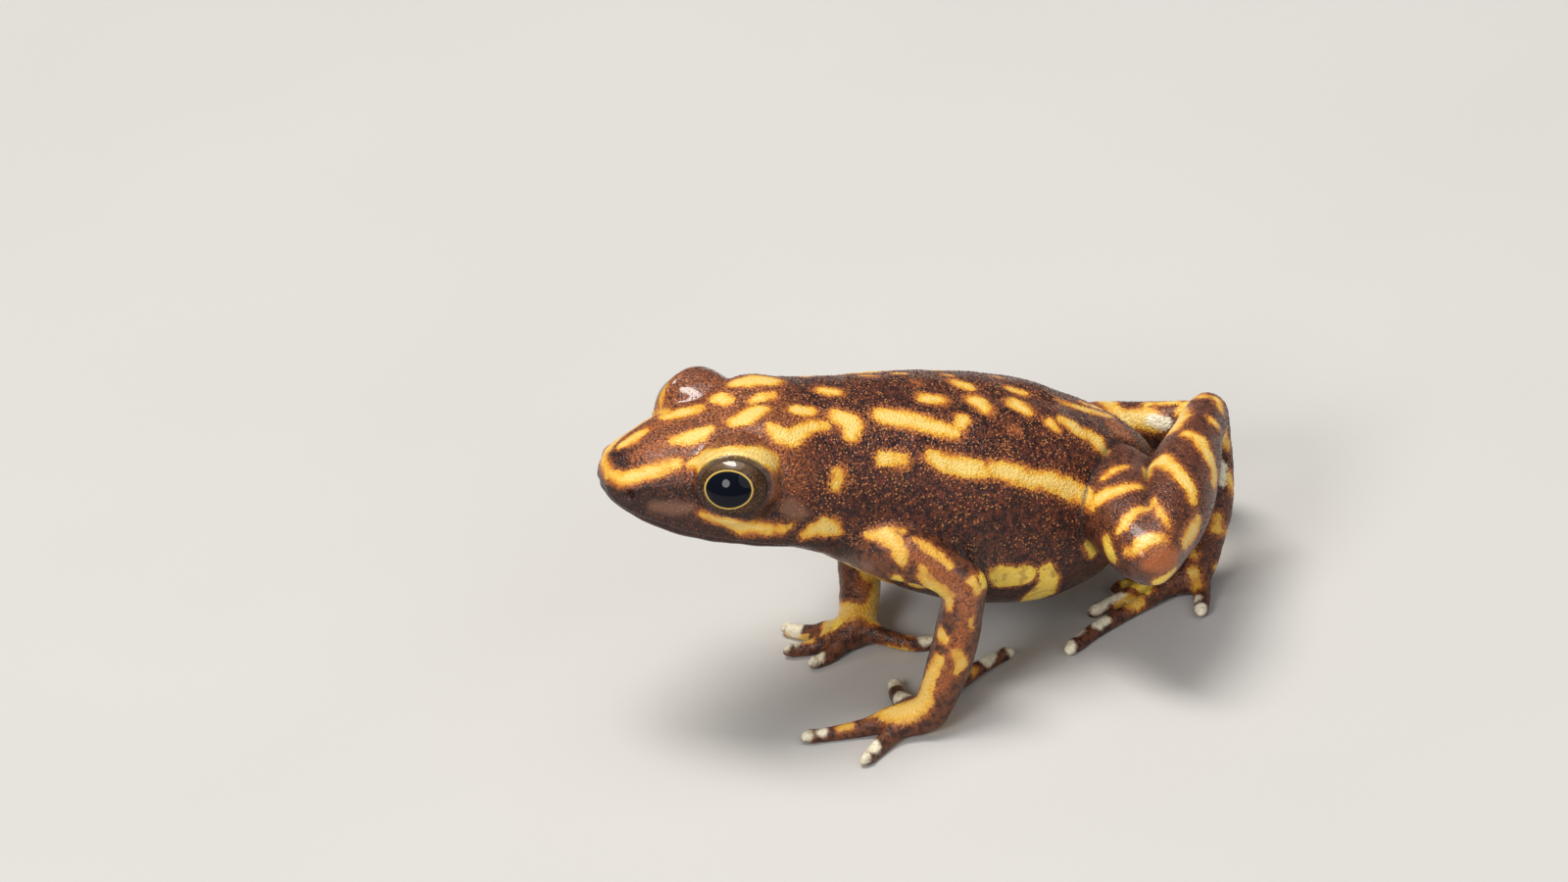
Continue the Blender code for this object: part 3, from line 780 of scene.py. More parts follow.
@dataclass(frozen=True)
class Markings:
    """Every marking that shows in the photograph, and a few guessed ones on the hidden half of the back."""

    snout_stripe: Stroke = stroke(GOLD, BOTH,
        (614, 474, 4.5), (623, 484, 7), (634, 489, 8.5), (646, 487, 9), (659, 482, 9), (676, 477, 9.5),
        (690, 473, 7.5))
    far_snout_edge: Stroke = stroke(GOLD, SEEN,
        (622, 460, 1.5), (632, 446, 1.5), (642, 436, 1.5), (655, 427, 2), (666, 419, 3))
    far_brow_edge: Stroke = stroke(GOLD, SEEN,
        (665, 416, 2.2), (667, 405, 1.6), (672, 395, 1.4), (680, 385, 1.2), (690, 379, 1))
    far_brow_mark: Stroke = stroke(GOLD, SEEN, (672, 421, 3), (681, 424, 4.5), (694, 421, 6), (708, 418, 5.5))
    crown_mark: Stroke = stroke(GOLD, SEEN, (689, 449, 6), (702, 447, 8), (715, 443, 8), (724, 438, 5))
    snout_mark: Stroke = stroke(GOLD, SEEN, (635, 453, 3.5), (646, 447, 5.5), (655, 441, 4))
    crown_rust: Stroke = stroke(RUST, SEEN,
        (648, 466, 6), (662, 458, 10), (680, 452, 11), (700, 449, 9), (715, 448, 7))
    far_crown_rust: Stroke = stroke(RUST, SEEN, (660, 437, 6), (680, 431, 6))
    brow: Stroke = stroke(GOLD, SEEN,
        (705, 474, 6), (716, 469, 7.5), (728, 465, 7.5), (745, 461, 7), (763, 462, 8), (779, 466, 9.5),
        (787, 470, 8.5))
    hidden_brow: Stroke = stroke(GOLD, HIDDEN,
        (710, 480, 2.5), (722, 471, 2.5), (745, 466, 2.5), (765, 469, 2.5), (781, 477, 2.5))
    eardrum_dusk: Stroke = stroke(DUSK, BOTH, (806, 518, 10), (815, 524, 10))
    lore_dusk: Stroke = stroke(DUSK, BOTH, (667, 517, 6), (685, 519, 8), (703, 518, 6))
    lid_corner_dusk: Stroke = stroke(DUSK, BOTH, (786, 484, 5), (790, 500, 5))
    far_lid_spot: Stroke = stroke(GOLD, SEEN, (734, 406, 7.5), (740, 408, 7.5))
    far_nape_spot: Stroke = stroke(GOLD, SEEN, (766, 409, 3.5), (776, 406, 5.5), (789, 403, 4.5))
    midline_spot: Stroke = stroke(GOLD, SEEN, (750, 429, 6.5), (762, 425, 8.5), (772, 419, 6.5))
    nape_spot: Stroke = stroke(GOLD, SEEN, (814, 418, 5.5), (826, 420, 5.5))
    nape_vee: Stroke = stroke(GOLD, SEEN,
        (787, 436, 7), (796, 444, 10.5), (807, 448, 10.5), (817, 441, 9.5), (829, 434, 8), (842, 434, 6))
    far_nape_bar: Stroke = stroke(GOLD, SEEN, (751, 390, 4.5), (762, 388, 6), (776, 387, 6), (789, 388, 5))
    lip_stripe: Stroke = stroke(GOLD, BOTH,
        (715, 524, 3.5), (727, 529, 5), (743, 534, 6), (760, 537, 6), (780, 540, 7), (796, 540, 6.5),
        (806, 537, 3.5))
    jaw_patch: Stroke = stroke(GOLD, BOTH,
        (820, 546, 4.5), (830, 542, 8), (841, 538, 10.5), (851, 539, 9.5), (856, 543, 5))
    shoulder_hook: Stroke = stroke(GOLD, SEEN, (855, 425, 9), (868, 431, 12), (869, 445, 9))
    shoulder_spot: Stroke = stroke(GOLD, BOTH, (856, 484, 8), (853, 495, 7))
    back_bar: Stroke = stroke(GOLD, SEEN,
        (901, 424, 9), (920, 427, 10.5), (938, 431, 9.5), (955, 436, 9), (972, 441, 8))
    back_bar_end: Stroke = stroke(GOLD, SEEN, (983, 428, 9), (980, 434, 8))
    side_spot: Stroke = stroke(GOLD, BOTH, (900, 468, 8.5), (922, 470, 8))
    side_stripe_front: Stroke = stroke(GOLD, BOTH,
        (950, 466, 8), (962, 471, 11), (980, 476, 12), (1003, 480, 10))
    side_stripe: Stroke = stroke(GOLD, BOTH,
        (1013, 478, 9), (1032, 483, 12), (1052, 489, 11), (1075, 492, 12), (1092, 499, 12), (1108, 507, 11),
        (1115, 517, 5))
    far_shoulder_spot: Stroke = stroke(GOLD, SEEN, (838, 398, 4), (853, 400, 4.5))
    hidden_nape_spot: Stroke = stroke(GOLD, HIDDEN, (800, 462, 7), (815, 458, 7.5), (829, 452, 6))
    hidden_shoulder_spot: Stroke = stroke(GOLD, HIDDEN, (860, 444, 8), (870, 458, 7.5))
    hidden_back_bar: Stroke = stroke(GOLD, HIDDEN, (908, 441, 6.5), (926, 443, 8), (950, 450, 7))
    hidden_back_spot: Stroke = stroke(GOLD, HIDDEN, (1000, 452, 6), (1012, 457, 6))
    far_back_rust: Stroke = stroke(RUST, SEEN, (936, 390, 4))
    far_back_spot: Stroke = stroke(GOLD, SEEN, (944, 406, 5), (958, 407, 5.5))
    far_edge_spot_front: Stroke = stroke(GOLD, SEEN, (976, 390, 4), (987, 394, 4.5))
    mid_back_spot: Stroke = stroke(GOLD, SEEN, (996, 408, 6.5), (1005, 417, 6.5))
    far_edge_spot_rear: Stroke = stroke(GOLD, SEEN, (1030, 396, 3), (1043, 401, 3.5))
    mid_back_spot_rear: Stroke = stroke(GOLD, SEEN, (1037, 412, 6), (1047, 419, 5.5))
    mid_back_rust: Stroke = stroke(RUST, SEEN, (1035, 438, 7))
    rump_dot: Stroke = stroke(GOLD, SEEN, (1071, 431, 5), (1078, 437, 4))
    rump_spot: Stroke = stroke(GOLD, SEEN, (1085, 429, 4.5), (1097, 437, 6.5), (1105, 443, 5))
    rump_spot_rear: Stroke = stroke(GOLD, SEEN, (1112, 444, 5), (1121, 452, 7.5), (1127, 460, 5))
    far_rump_line: Stroke = stroke(GOLD, SEEN, (1081, 409, 2), (1098, 415, 3), (1115, 420, 3), (1132, 424, 3))
    far_rump_stripe: Stroke = stroke(GOLD, SEEN,
        (1105, 411, 2), (1118, 415, 3), (1136, 417, 5.5), (1148, 425, 5), (1164, 437, 3))
    rump_rust: Stroke = stroke(RUST, SEEN, (1142, 438, 8))
    ridge_spot_nape: Stroke = stroke(GOLD, SEEN, (840, 381.5, 2), (858, 382.5, 1.5))
    ridge_spot_shoulder: Stroke = stroke(GOLD, SEEN, (880, 383, 2), (893, 383.5, 1.5))
    ridge_spot_front: Stroke = stroke(GOLD, SEEN, (914, 381, 2), (923, 381, 2))
    ridge_spot_middle: Stroke = stroke(GOLD, SEEN, (962, 382, 1.5), (970, 383, 1.5))
    ridge_spot_rear: Stroke = stroke(GOLD, SEEN, (1013, 383.5, 1.5), (1021, 385.5, 1.5))
    flank_patch: Stroke = stroke(OLIVE, BOTH, (1005, 591, 6), (1025, 590, 10), (1044, 588, 10))
    flank_patch_rear: Stroke = stroke(OLIVE, BOTH,
        (1068, 581, 8), (1070, 594, 8.5), (1060, 607, 8), (1050, 613, 5))
    flank_trail: Stroke = stroke(OLIVE, BOTH, (1083, 611, 3), (1098, 608, 2.5))
    groin_patch: Stroke = stroke(OLIVE, BOTH, (1111, 555, 4.5), (1115, 566, 4.5))
    knee_patch: Stroke = stroke(OLIVE, BOTH, (1129, 553, 4.5), (1133, 566, 5))
    armpit_trail: Stroke = stroke(OLIVE, BOTH, (915, 590, 3), (935, 597, 4), (955, 604, 4))
    shoulder_patch: Stroke = stroke(GOLD, BOTH,
        (884, 545, 4.5), (895, 545, 8), (908, 547, 10), (915, 557, 9), (920, 568, 8), (921, 575, 5))
    shoulder_edge: Stroke = stroke(GOLD, BOTH, (905, 540, 4), (922, 542, 3))
    upper_arm_outer: Stroke = stroke(GOLD, BOTH, (934, 551, 3), (947, 559, 5.5), (958, 567, 6), (969, 578, 4))
    upper_arm_inner: Stroke = stroke(GOLD, BOTH,
        (941, 580, 5.5), (944, 591, 6), (954, 601, 6), (966, 609, 6), (968, 619, 4))
    elbow_mark: Stroke = stroke(GOLD, BOTH, (992, 593, 6), (998, 603, 5))
    forearm_dot: Stroke = stroke(GOLD, BOTH, (991, 632, 3.5), (991, 640, 3))
    forearm_spot_upper: Stroke = stroke(GOLD, BOTH, (959, 646, 5), (964, 653, 5))
    forearm_spot_lower: Stroke = stroke(GOLD, BOTH, (975, 666, 6), (982, 677, 6.5), (976, 686, 4))
    forearm_stripe: Stroke = stroke(GOLD, BOTH, (957, 674, 7), (950, 688, 7), (944, 702, 7), (944, 714, 8))
    arm_rust: Stroke = stroke(RUST, BOTH,
        (915, 558, 6), (938, 570, 9), (965, 592, 12), (990, 608, 12), (984, 640, 9), (972, 680, 8),
        (962, 705, 7))
    palm_patch: Stroke = stroke(GOLD, BOTH, (938, 717, 11), (926, 723, 12), (914, 727, 11), (904, 727, 8))
    finger_root: Stroke = stroke(GOLD, BOTH, (897, 727, 4), (884, 731, 3))
    front_finger_spot: Stroke = stroke(GOLD, BOTH, (857, 743, 4.5), (866, 740, 4.5))
    front_finger_band: Stroke = stroke(CREAM, BOTH, (839, 746, 4.5))
    front_finger_tip: Stroke = stroke(CREAM, BOTH, (822, 750, 7))
    low_finger_band: Stroke = stroke(CREAM, BOTH, (887, 761, 5))
    low_finger_tip: Stroke = stroke(CREAM, BOTH, (881, 773, 7.5))
    inner_finger_tip: Stroke = stroke(CREAM, SEEN, (910, 694, 8))
    inner_finger_band: Stroke = stroke(CREAM, SEEN, (923, 707, 6.5))
    hidden_inner_tip: Stroke = stroke(CREAM, HIDDEN, (911, 694, 5))
    rear_finger_band: Stroke = stroke(CREAM, BOTH, (1016, 663, 6), (1006, 671, 4.5))
    rear_finger_spot: Stroke = stroke(GOLD, BOTH, (993, 684, 5))
    rear_finger_tip: Stroke = stroke(CREAM, BOTH, (1033, 663, 7))
    thigh_bar_top: Stroke = stroke(GOLD, BOTH, (1126, 488, 2.5), (1135, 481, 4), (1148, 476, 2.5))
    thigh_bar_upper: Stroke = stroke(GOLD, BOTH,
        (1120, 509, 6), (1128, 505, 7.5), (1140, 500, 6), (1152, 497, 4.5), (1166, 497, 3))
    thigh_bar_lower: Stroke = stroke(GOLD, BOTH,
        (1142, 540, 4.5), (1146, 536, 6.5), (1151, 529, 6.5), (1160, 521, 5), (1173, 518, 3.5))
    knee_bar: Stroke = stroke(GOLD, BOTH,
        (1150, 563, 5.5), (1157, 562, 7.5), (1163, 556, 9.5), (1174, 551, 9), (1187, 549, 6.5))
    knee_rust: Stroke = stroke(RUST, BOTH, (1172, 576, 9), (1184, 574, 14), (1195, 570, 12))
    knee_edge: Stroke = stroke(OLIVE, BOTH,
        (1130, 580, 3), (1140, 590, 3), (1153, 597, 3.5), (1168, 599, 3.5), (1183, 593, 3.5),
        (1197, 583, 2.5))
    shank_band: Stroke = stroke(GOLD, BOTH,
        (1170, 491, 3), (1172, 478, 5.5), (1183, 470, 5.5), (1197, 477, 6.5), (1207, 488, 6.5),
        (1215, 500, 6.5), (1217, 512, 4))
    shank_fork: Stroke = stroke(GOLD, BOTH,
        (1175, 509, 3.5), (1180, 517, 4.5), (1187, 527, 5.5), (1191, 536, 4))
    shank_spot: Stroke = stroke(GOLD, BOTH, (1207, 420, 4), (1203, 428, 6.5), (1197, 438, 5))
    shank_band_rear: Stroke = stroke(GOLD, BOTH,
        (1213, 443, 5), (1223, 448, 6), (1230, 460, 5.5), (1237, 473, 5), (1240, 483, 4.5), (1238, 493, 3))
    shank_inner_bar: Stroke = stroke(GOLD, BOTH, (1210, 553, 5), (1217, 542, 6.5), (1223, 530, 4))
    heel_mark_front: Stroke = stroke(GOLD, BOTH, (1214, 406, 3.5), (1228, 404, 3.5))
    heel_mark_top: Stroke = stroke(GOLD, BOTH, (1242, 408, 3.5), (1246, 418, 3))
    heel_mark_low: Stroke = stroke(GOLD, BOTH, (1237, 429, 3.5), (1242, 434, 3))
    heel_mark_rear: Stroke = stroke(GOLD, BOTH, (1249, 446, 5), (1252, 452, 4.5))
    tarsus_cream: Stroke = stroke(CREAM, BOTH, (1246, 478, 3.5), (1247, 493, 4.5))
    tarsus_edge: Stroke = stroke(GOLD, BOTH, (1254, 487, 5), (1258, 501, 3))
    tarsus_patch: Stroke = stroke(GOLD, BOTH, (1243, 528, 5), (1241, 538, 8), (1254, 545, 5))
    tarsus_olive: Stroke = stroke(OLIVE, BOTH, (1240, 578, 3))
    short_toe_root: Stroke = stroke(GOLD, BOTH, (1218, 566, 6.5))
    short_toe_stripe: Stroke = stroke(GOLD, BOTH, (1218, 583, 7), (1220, 598, 5.5))
    short_toe_band: Stroke = stroke(CREAM, BOTH, (1221, 611, 4))
    short_toe_tip: Stroke = stroke(CREAM, BOTH, (1224, 621, 8))
    long_toe_spot: Stroke = stroke(GOLD, BOTH, (1146, 617, 5), (1156, 613, 5.5))
    long_toe_band_rear: Stroke = stroke(CREAM, BOTH, (1120, 636, 5.5), (1127, 632, 5))
    long_toe_band_front: Stroke = stroke(CREAM, BOTH, (1097, 648, 5), (1102, 645, 4.5))
    long_toe_tip: Stroke = stroke(CREAM, BOTH, (1088, 661, 9))
    middle_toe_stripe: Stroke = stroke(CREAM, BOTH,
        (1109, 622, 7), (1120, 622, 7), (1128, 613, 4.5), (1146, 607, 3))
    far_shank_stripe: Stroke = stroke(GOLD, SEEN, (1172, 412, 3), (1200, 410, 3))
    far_shank_patch: Stroke = stroke(CREAM, SEEN, (1176, 428, 7), (1188, 432, 8))
    far_arm_dusk: Stroke = stroke(DUSK, SEEN, (886, 578, 6), (884, 600, 7), (882, 628, 7))
    far_arm_olive: Stroke = stroke(OLIVE, SEEN, (853, 636, 4), (850, 643, 3))

    def every(self) -> list[Stroke]:
        """All strokes, from the head to the far side's limbs."""
        return [getattr(self, item.name) for item in fields(self)]


@dataclass
class Anatomy:
    """Every form of the frog's flesh, and how left limbs answer to right ones."""

    trunk: TrunkForm = field(default_factory=TrunkForm)
    limbs: tuple[LimbForm, ...] = (
        LimbForm("upper_arm_left", (
            (1.40, -2.05, 5.20, 0.95), (2.55, -1.60, 5.10, 0.84), (3.25, -0.82, 4.78, 0.66),
            (3.75, 0.07, 4.04, 0.60),
        )),
        LimbForm("forearm_left", (
            (3.75, 0.07, 4.04, 0.60), (3.90, -0.49, 2.59, 0.64), (4.00, -1.06, 1.46, 0.60),
            (4.10, -1.60, 0.62, 0.50),
        )),
        LimbForm("upper_arm_right", (
            (-1.95, -1.90, 5.25, 0.95), (-3.10, -1.45, 4.75, 0.84), (-3.95, -0.90, 4.00, 0.68),
            (-4.50, -0.35, 3.20, 0.60),
        )),
        LimbForm("forearm_right", (
            (-4.50, -0.35, 3.20, 0.60), (-3.35, -0.95, 2.15, 0.64), (-2.10, -1.50, 1.15, 0.60),
            (-1.25, -1.95, 0.62, 0.50),
        )),
        LimbForm("thigh_left", (
            (1.00, 5.35, 3.94, 1.30), (3.00, 5.05, 4.12, 1.20), (4.20, 4.95, 4.10, 1.05),
            (5.00, 4.96, 4.02, 0.88),
        )),
        LimbForm("shank_left", (
            (5.00, 5.12, 4.10, 0.84), (3.80, 6.05, 4.22, 1.05), (2.10, 7.09, 4.28, 1.02),
            (0.40, 8.18, 4.35, 0.74), (-0.80, 8.92, 4.24, 0.60),
        )),
        LimbForm("tarsus_left", (
            (-0.80, 8.92, 4.24, 0.60), (-0.10, 8.70, 3.10, 0.56), (0.52, 8.22, 2.03, 0.62),
            (1.05, 7.50, 0.85, 0.56),
        )),
        LimbForm("thigh_right", (
            (-1.60, 5.10, 3.30, 1.25), (-2.90, 4.50, 3.00, 1.15), (-4.10, 3.70, 2.60, 1.00),
            (-4.90, 3.10, 2.35, 0.86),
        )),
        LimbForm("shank_right", (
            (-4.90, 3.25, 2.40, 0.84), (-4.45, 4.60, 2.60, 1.03), (-3.70, 6.30, 2.82, 1.00),
            (-2.80, 8.00, 3.05, 0.73), (-2.20, 9.05, 3.22, 0.60),
        )),
        LimbForm("tarsus_right", (
            (-2.20, 9.05, 3.22, 0.60), (-2.85, 8.70, 2.40, 0.55), (-3.50, 7.90, 1.50, 0.60),
            (-4.10, 6.90, 0.82, 0.60),
        )),
    )
    extremities: tuple[ExtremityForm, ...] = (
        ExtremityForm(
            "hand_left",
            (
                ((4.10, -1.60, 0.62, 0.50), (3.55, -2.45, 0.42, 0.38), (3.17, -3.60, 0.26, 0.24),
                 (2.79, -4.86, 0.20, 0.21)),
                ((4.10, -1.60, 0.60, 0.46), (3.98, -2.55, 0.36, 0.32), (4.30, -3.20, 0.26, 0.24),
                 (4.74, -3.78, 0.20, 0.21)),
                ((4.05, -1.62, 0.58, 0.44), (3.05, -1.98, 0.42, 0.30), (2.20, -1.98, 0.28, 0.24),
                 (1.55, -1.86, 0.22, 0.21)),
                ((4.05, -1.50, 0.58, 0.44), (3.10, -0.92, 0.42, 0.28), (2.10, 0.42, 0.28, 0.22),
                 (1.68, 1.50, 0.20, 0.20)),
            ),
            (0.25, 0.23, 0.17),
            (0.50, 0.66, 0.54, 0.38),
        ),
        ExtremityForm(
            "hand_right",
            (
                ((-1.25, -1.95, 0.62, 0.50), (-1.36, -2.60, 0.42, 0.38), (-1.50, -3.20, 0.26, 0.24),
                 (-1.70, -3.90, 0.20, 0.21)),
                ((-1.25, -1.95, 0.60, 0.46), (-1.80, -2.60, 0.38, 0.30), (-2.30, -3.15, 0.26, 0.24),
                 (-2.85, -3.60, 0.20, 0.21)),
                ((-1.20, -1.95, 0.58, 0.44), (-1.00, -2.55, 0.40, 0.30), (-0.80, -3.00, 0.26, 0.22),
                 (-0.72, -3.50, 0.20, 0.20)),
                ((-1.20, -1.85, 0.58, 0.44), (-0.60, -1.40, 0.42, 0.28), (0.00, -0.60, 0.28, 0.22),
                 (0.12, 0.30, 0.20, 0.20)),
            ),
            (0.25, 0.23, 0.17),
            (0.50, 0.64, 0.54, 0.38),
        ),
        ExtremityForm(
            "foot_left",
            (
                ((1.05, 7.50, 0.66, 0.48), (1.22, 6.60, 0.44, 0.31), (1.42, 5.60, 0.30, 0.25),
                 (1.87, 4.09, 0.24, 0.23), (2.45, 3.06, 0.20, 0.22)),
                ((1.05, 7.50, 0.64, 0.42), (0.80, 6.45, 0.44, 0.30), (0.78, 5.35, 0.28, 0.24),
                 (0.98, 4.28, 0.20, 0.21)),
                ((1.10, 7.50, 0.64, 0.42), (1.48, 7.34, 0.42, 0.30), (2.02, 7.14, 0.28, 0.25),
                 (2.56, 6.92, 0.20, 0.22)),
                ((1.00, 7.50, 0.62, 0.42), (0.50, 6.70, 0.42, 0.29), (0.20, 5.95, 0.26, 0.22),
                 (0.15, 5.30, 0.20, 0.20)),
                ((0.95, 7.55, 0.60, 0.40), (0.38, 7.25, 0.42, 0.29), (-0.15, 6.80, 0.20, 0.20)),
            ),
            (0.29, 0.25, 0.18),
            (0.45, 0.70, 0.44, 0.36),
        ),
        ExtremityForm(
            "foot_right",
            (
                ((-4.10, 6.90, 0.64, 0.52), (-4.50, 5.80, 0.44, 0.33), (-4.85, 4.60, 0.30, 0.25),
                 (-5.20, 3.30, 0.24, 0.23), (-5.50, 2.15, 0.20, 0.22)),
                ((-4.10, 6.90, 0.62, 0.46), (-4.20, 5.70, 0.44, 0.34), (-4.25, 4.45, 0.28, 0.24),
                 (-4.35, 3.35, 0.20, 0.21)),
                ((-4.15, 6.90, 0.62, 0.46), (-4.80, 6.25, 0.40, 0.32), (-5.25, 5.75, 0.28, 0.25),
                 (-5.65, 5.15, 0.20, 0.22)),
                ((-4.05, 6.90, 0.60, 0.46), (-3.80, 5.90, 0.42, 0.32), (-3.60, 5.05, 0.26, 0.22),
                 (-3.55, 4.35, 0.20, 0.20)),
                ((-4.05, 6.95, 0.60, 0.44), (-3.45, 6.40, 0.42, 0.30), (-3.05, 5.80, 0.20, 0.20)),
            ),
            (0.29, 0.25, 0.18),
            (0.50, 0.74, 0.48, 0.36),
        ),
    )

    def names(self) -> list[str]:
        """The trunk's, the limbs' and the extremities' names, in the order of reaches."""
        return ["trunk", *[form.name for form in self.limbs], *[form.name for form in self.extremities]]

    def build(self) -> Shell:
        """All forms as overlapping closed surfaces."""
        shell = Shell()
        self.trunk.build(shell)
        for form in (*self.limbs, *self.extremities):
            form.build(shell)
        return shell

    def reaches(self, points: np.ndarray) -> np.ndarray:
        """How far each place is outside each form.

        Args:
            points: places in the resting frame.

        Returns:
            One column for each name.
        """
        columns = [self.trunk.reach(self.trunk.inward(points))]
        columns += [form.reach(points) for form in (*self.limbs, *self.extremities)]
        return np.stack(columns, axis=1)

    def paths(self, name: str) -> list[np.ndarray]:
        """The paths of a limb piece, or of each digit of a hand or foot."""
        for form in self.limbs:
            if form.name == name:
                return [form.path()]
        for form in self.extremities:
            if form.name == name:
                return [smooth_path(points, 6) for points in form.digits]
        return []

    def carried_over(self, name: str, place: np.ndarray) -> np.ndarray:
        """Takes a place on a left limb to the same place on the right limb.

        Args:
            name: the left form that carries the place.
            place: the place, in the resting frame.

        Returns:
            The matching place on the right form.
        """
        lefts = self.paths(name)
        rights = self.paths(name.replace("left", "right"))
        digit = int(np.argmin([nearest_on_path(place[None], path)[0][0] for path in lefts]))
        left = lefts[digit]
        right = rights[digit]
        where = nearest_on_path(place[None], left)[1][0]
        share = where / (len(left) - 1)
        offset = np.zeros(2)
        result = np.zeros(3)
        for side, path in ((1, left), (-1, right)):
            at = share * (len(path) - 1)
            index = min(int(at), len(path) - 2)
            start = path[index, :3] + (path[index + 1, :3] - path[index, :3]) * (at - index)
            along = path[min(index + 2, len(path) - 1), :3] - path[max(index - 1, 0), :3]
            along /= np.linalg.norm(along)
            upright = abs(along[2]) >= 0.7
            reference = np.array([float(side), 0.0, 0.0]) if upright else np.array([0.0, 0.0, 1.0])
            first = reference - (reference @ along) * along
            first /= np.linalg.norm(first)
            second = side * np.cross(along, first)
            if side == 1:
                away = place - start
                offset = np.array([away @ first, away @ second])
            else:
                result = start + offset[0] * first + offset[1] * second
        return result


@dataclass
class DrawnStroke:
    """A marking laid on the skin: its places, half widths, the forms that carry it and its paint."""

    tone: Tone
    places: np.ndarray
    widths: np.ndarray
    carriers: set[int]


@dataclass
class SkinPainter:
    """Turns the photograph's strokes into fields over the skin."""

    anatomy: Anatomy
    view: Viewpoint
    markings: Markings = field(default_factory=Markings)
    widest_stretch: float = 2.3
    reach: float = 0.5
    search: float = 14.0
    search_steps: int = 90
    fade_off: float = 1.5
    overlap: float = 0.05

    def lifted(self, tree: BVHTree, x: float, y: float) -> np.ndarray:
        """The place on the skin under a pixel, or the skin nearest its line of sight.

        Args:
            tree: the skin's faces.
            x: pixels from the left.
            y: pixels from the top.

        Returns:
            A place in the resting frame.
        """
        start, line = self.view.ray(x, y)
        found, _, _, _ = tree.ray_cast(Vector(start), Vector(line))
        if found is not None:
            return np.array(found)
        best = (math.inf, np.zeros(3))
        for t in self.view.distance + np.linspace(-self.search, self.search, self.search_steps):
            near, _, _, away = tree.find_nearest(Vector(start + line * t))
            if away < best[0]:
                best = (away, np.array(near))
        return best[1]

    def draw(self, tree: BVHTree) -> list[DrawnStroke]:
        """Lays every stroke on the skin, and repeats those that both sides carry.

        Args:
            tree: the skin's faces.

        Returns:
            The strokes as places on the skin.
        """
        drawn = []
        names = self.anatomy.names()
        for mark in self.markings.every():
            line = np.array(mark.line, float)
            places = np.array([self.lifted(tree, x, y) for x, y, _ in line])
            along = np.gradient(line[:, :2], axis=0) if len(line) > 1 else np.array([[1.0, 0.0]])
            widths = []
            for (x, y, half), step in zip(line, along):
                across = np.array([-step[1], step[0]]) / max(float(np.linalg.norm(step)), 1e-6) * half / 2
                one = self.lifted(tree, x + across[0], y + across[1])
                other = self.lifted(tree, x - across[0], y - across[1])
                flat = half / self.view.pixels_per_mm
                widths.append(min(float(np.linalg.norm(one - other)), self.widest_stretch * flat))
            carriers = set(np.argmin(self.anatomy.reaches(places), axis=1).tolist())
            here = DrawnStroke(mark.tone, places, np.array(widths), carriers)
            if mark.side is not HIDDEN:
                drawn.append(here)
            if mark.side is not SEEN:
                drawn.append(self.mirrored(here, names))
        return drawn

    def mirrored(self, mark: DrawnStroke, names: list[str]) -> DrawnStroke:
        """The same stroke on the frog's right side.

        Args:
            mark: a stroke on the left side.
            names: the forms' names.

        Returns:
            The stroke on the right side.
        """
        reaches = self.anatomy.reaches(mark.places)
        owners = np.argmin(reaches, axis=1)
        places = []
        for place, owner in zip(mark.places, owners):
            name = names[owner]
            if name.endswith("_left"):
                places.append(self.anatomy.carried_over(name, place))
            else:
                local = self.anatomy.trunk.inward(place[None]) * np.array([-1.0, 1.0, 1.0])
                places.append(self.anatomy.trunk.outward(local)[0])
        carriers = {names.index(names[owner].replace("left", "right")) for owner in mark.carriers}
        return DrawnStroke(mark.tone, np.array(places), mark.widths, carriers)

    def depths(
        self, points: np.ndarray, reaches: np.ndarray, drawn: list[DrawnStroke]
    ) -> dict[Tone, np.ndarray]:
        """How far inside the markings of each paint the skin is, in millimetres.

        Args:
            points: the skin's places.
            reaches: how far they are outside each form.
            drawn: the strokes.

        Returns:
            One array for each paint; it is above zero inside a marking.
        """
        depths = {tone: np.full(len(points), -self.reach) for tone in Tone}
        nearest = reaches.min(axis=1)
        for mark in drawn:
            margin = mark.widths.max() + self.reach
            low = mark.places.min(axis=0) - margin
            high = mark.places.max(axis=0) + margin
            chosen = np.flatnonzero(np.all((points > low) & (points < high), axis=1))
            if len(chosen) == 0:
                continue
            path = np.column_stack([mark.places, mark.widths])
            if len(path) == 1:
                path = np.vstack([path, path + 1e-4])
            distance, where = nearest_on_path(points[chosen], path)
            width = np.interp(where, np.arange(len(path)), path[:, 3])
            off = reaches[np.ix_(chosen, sorted(mark.carriers))].min(axis=1) - nearest[chosen]
            value = width - distance - self.fade_off * np.maximum(off - self.overlap, 0.0)
            depths[mark.tone][chosen] = np.maximum(depths[mark.tone][chosen], value)
        return depths


@dataclass(frozen=True)
class DigitForm:
    """How the digits' roundness is given back after all forms are joined."""

    highest: float = 0.9
    start: Step = Step(0.30, 0.50)
    end: Step = Step(1.0, 0.93)
    reach: Step = Step(1.5, 1.15)
    slimming: float = 0.20
    slim_start: Step = Step(0.35, 0.60)
    slim_end: Step = Step(1.0, 0.86)


@dataclass(frozen=True)
class LidForm:
    """The lids round an eye, by the share of the way to their edge and by the distance from its middle."""

    radius: float = 1.175
    sunk_radius: float = 0.98
    reach: float = 2.2
    upper: Step = Step(0.0, 0.6)
    upper_rise: float = 0.05
    lower: Step = Step(0.0, -0.5)
    lower_drop: float = 0.02
    rim: Step = Step(0.95, 1.05)
    crease: Bump = Bump(0.035, 0.07)
    crease_share: float = 1.34
    outer: Step = Step(1.75, 1.22)
    depth: Step = Step(1.62, 1.34)


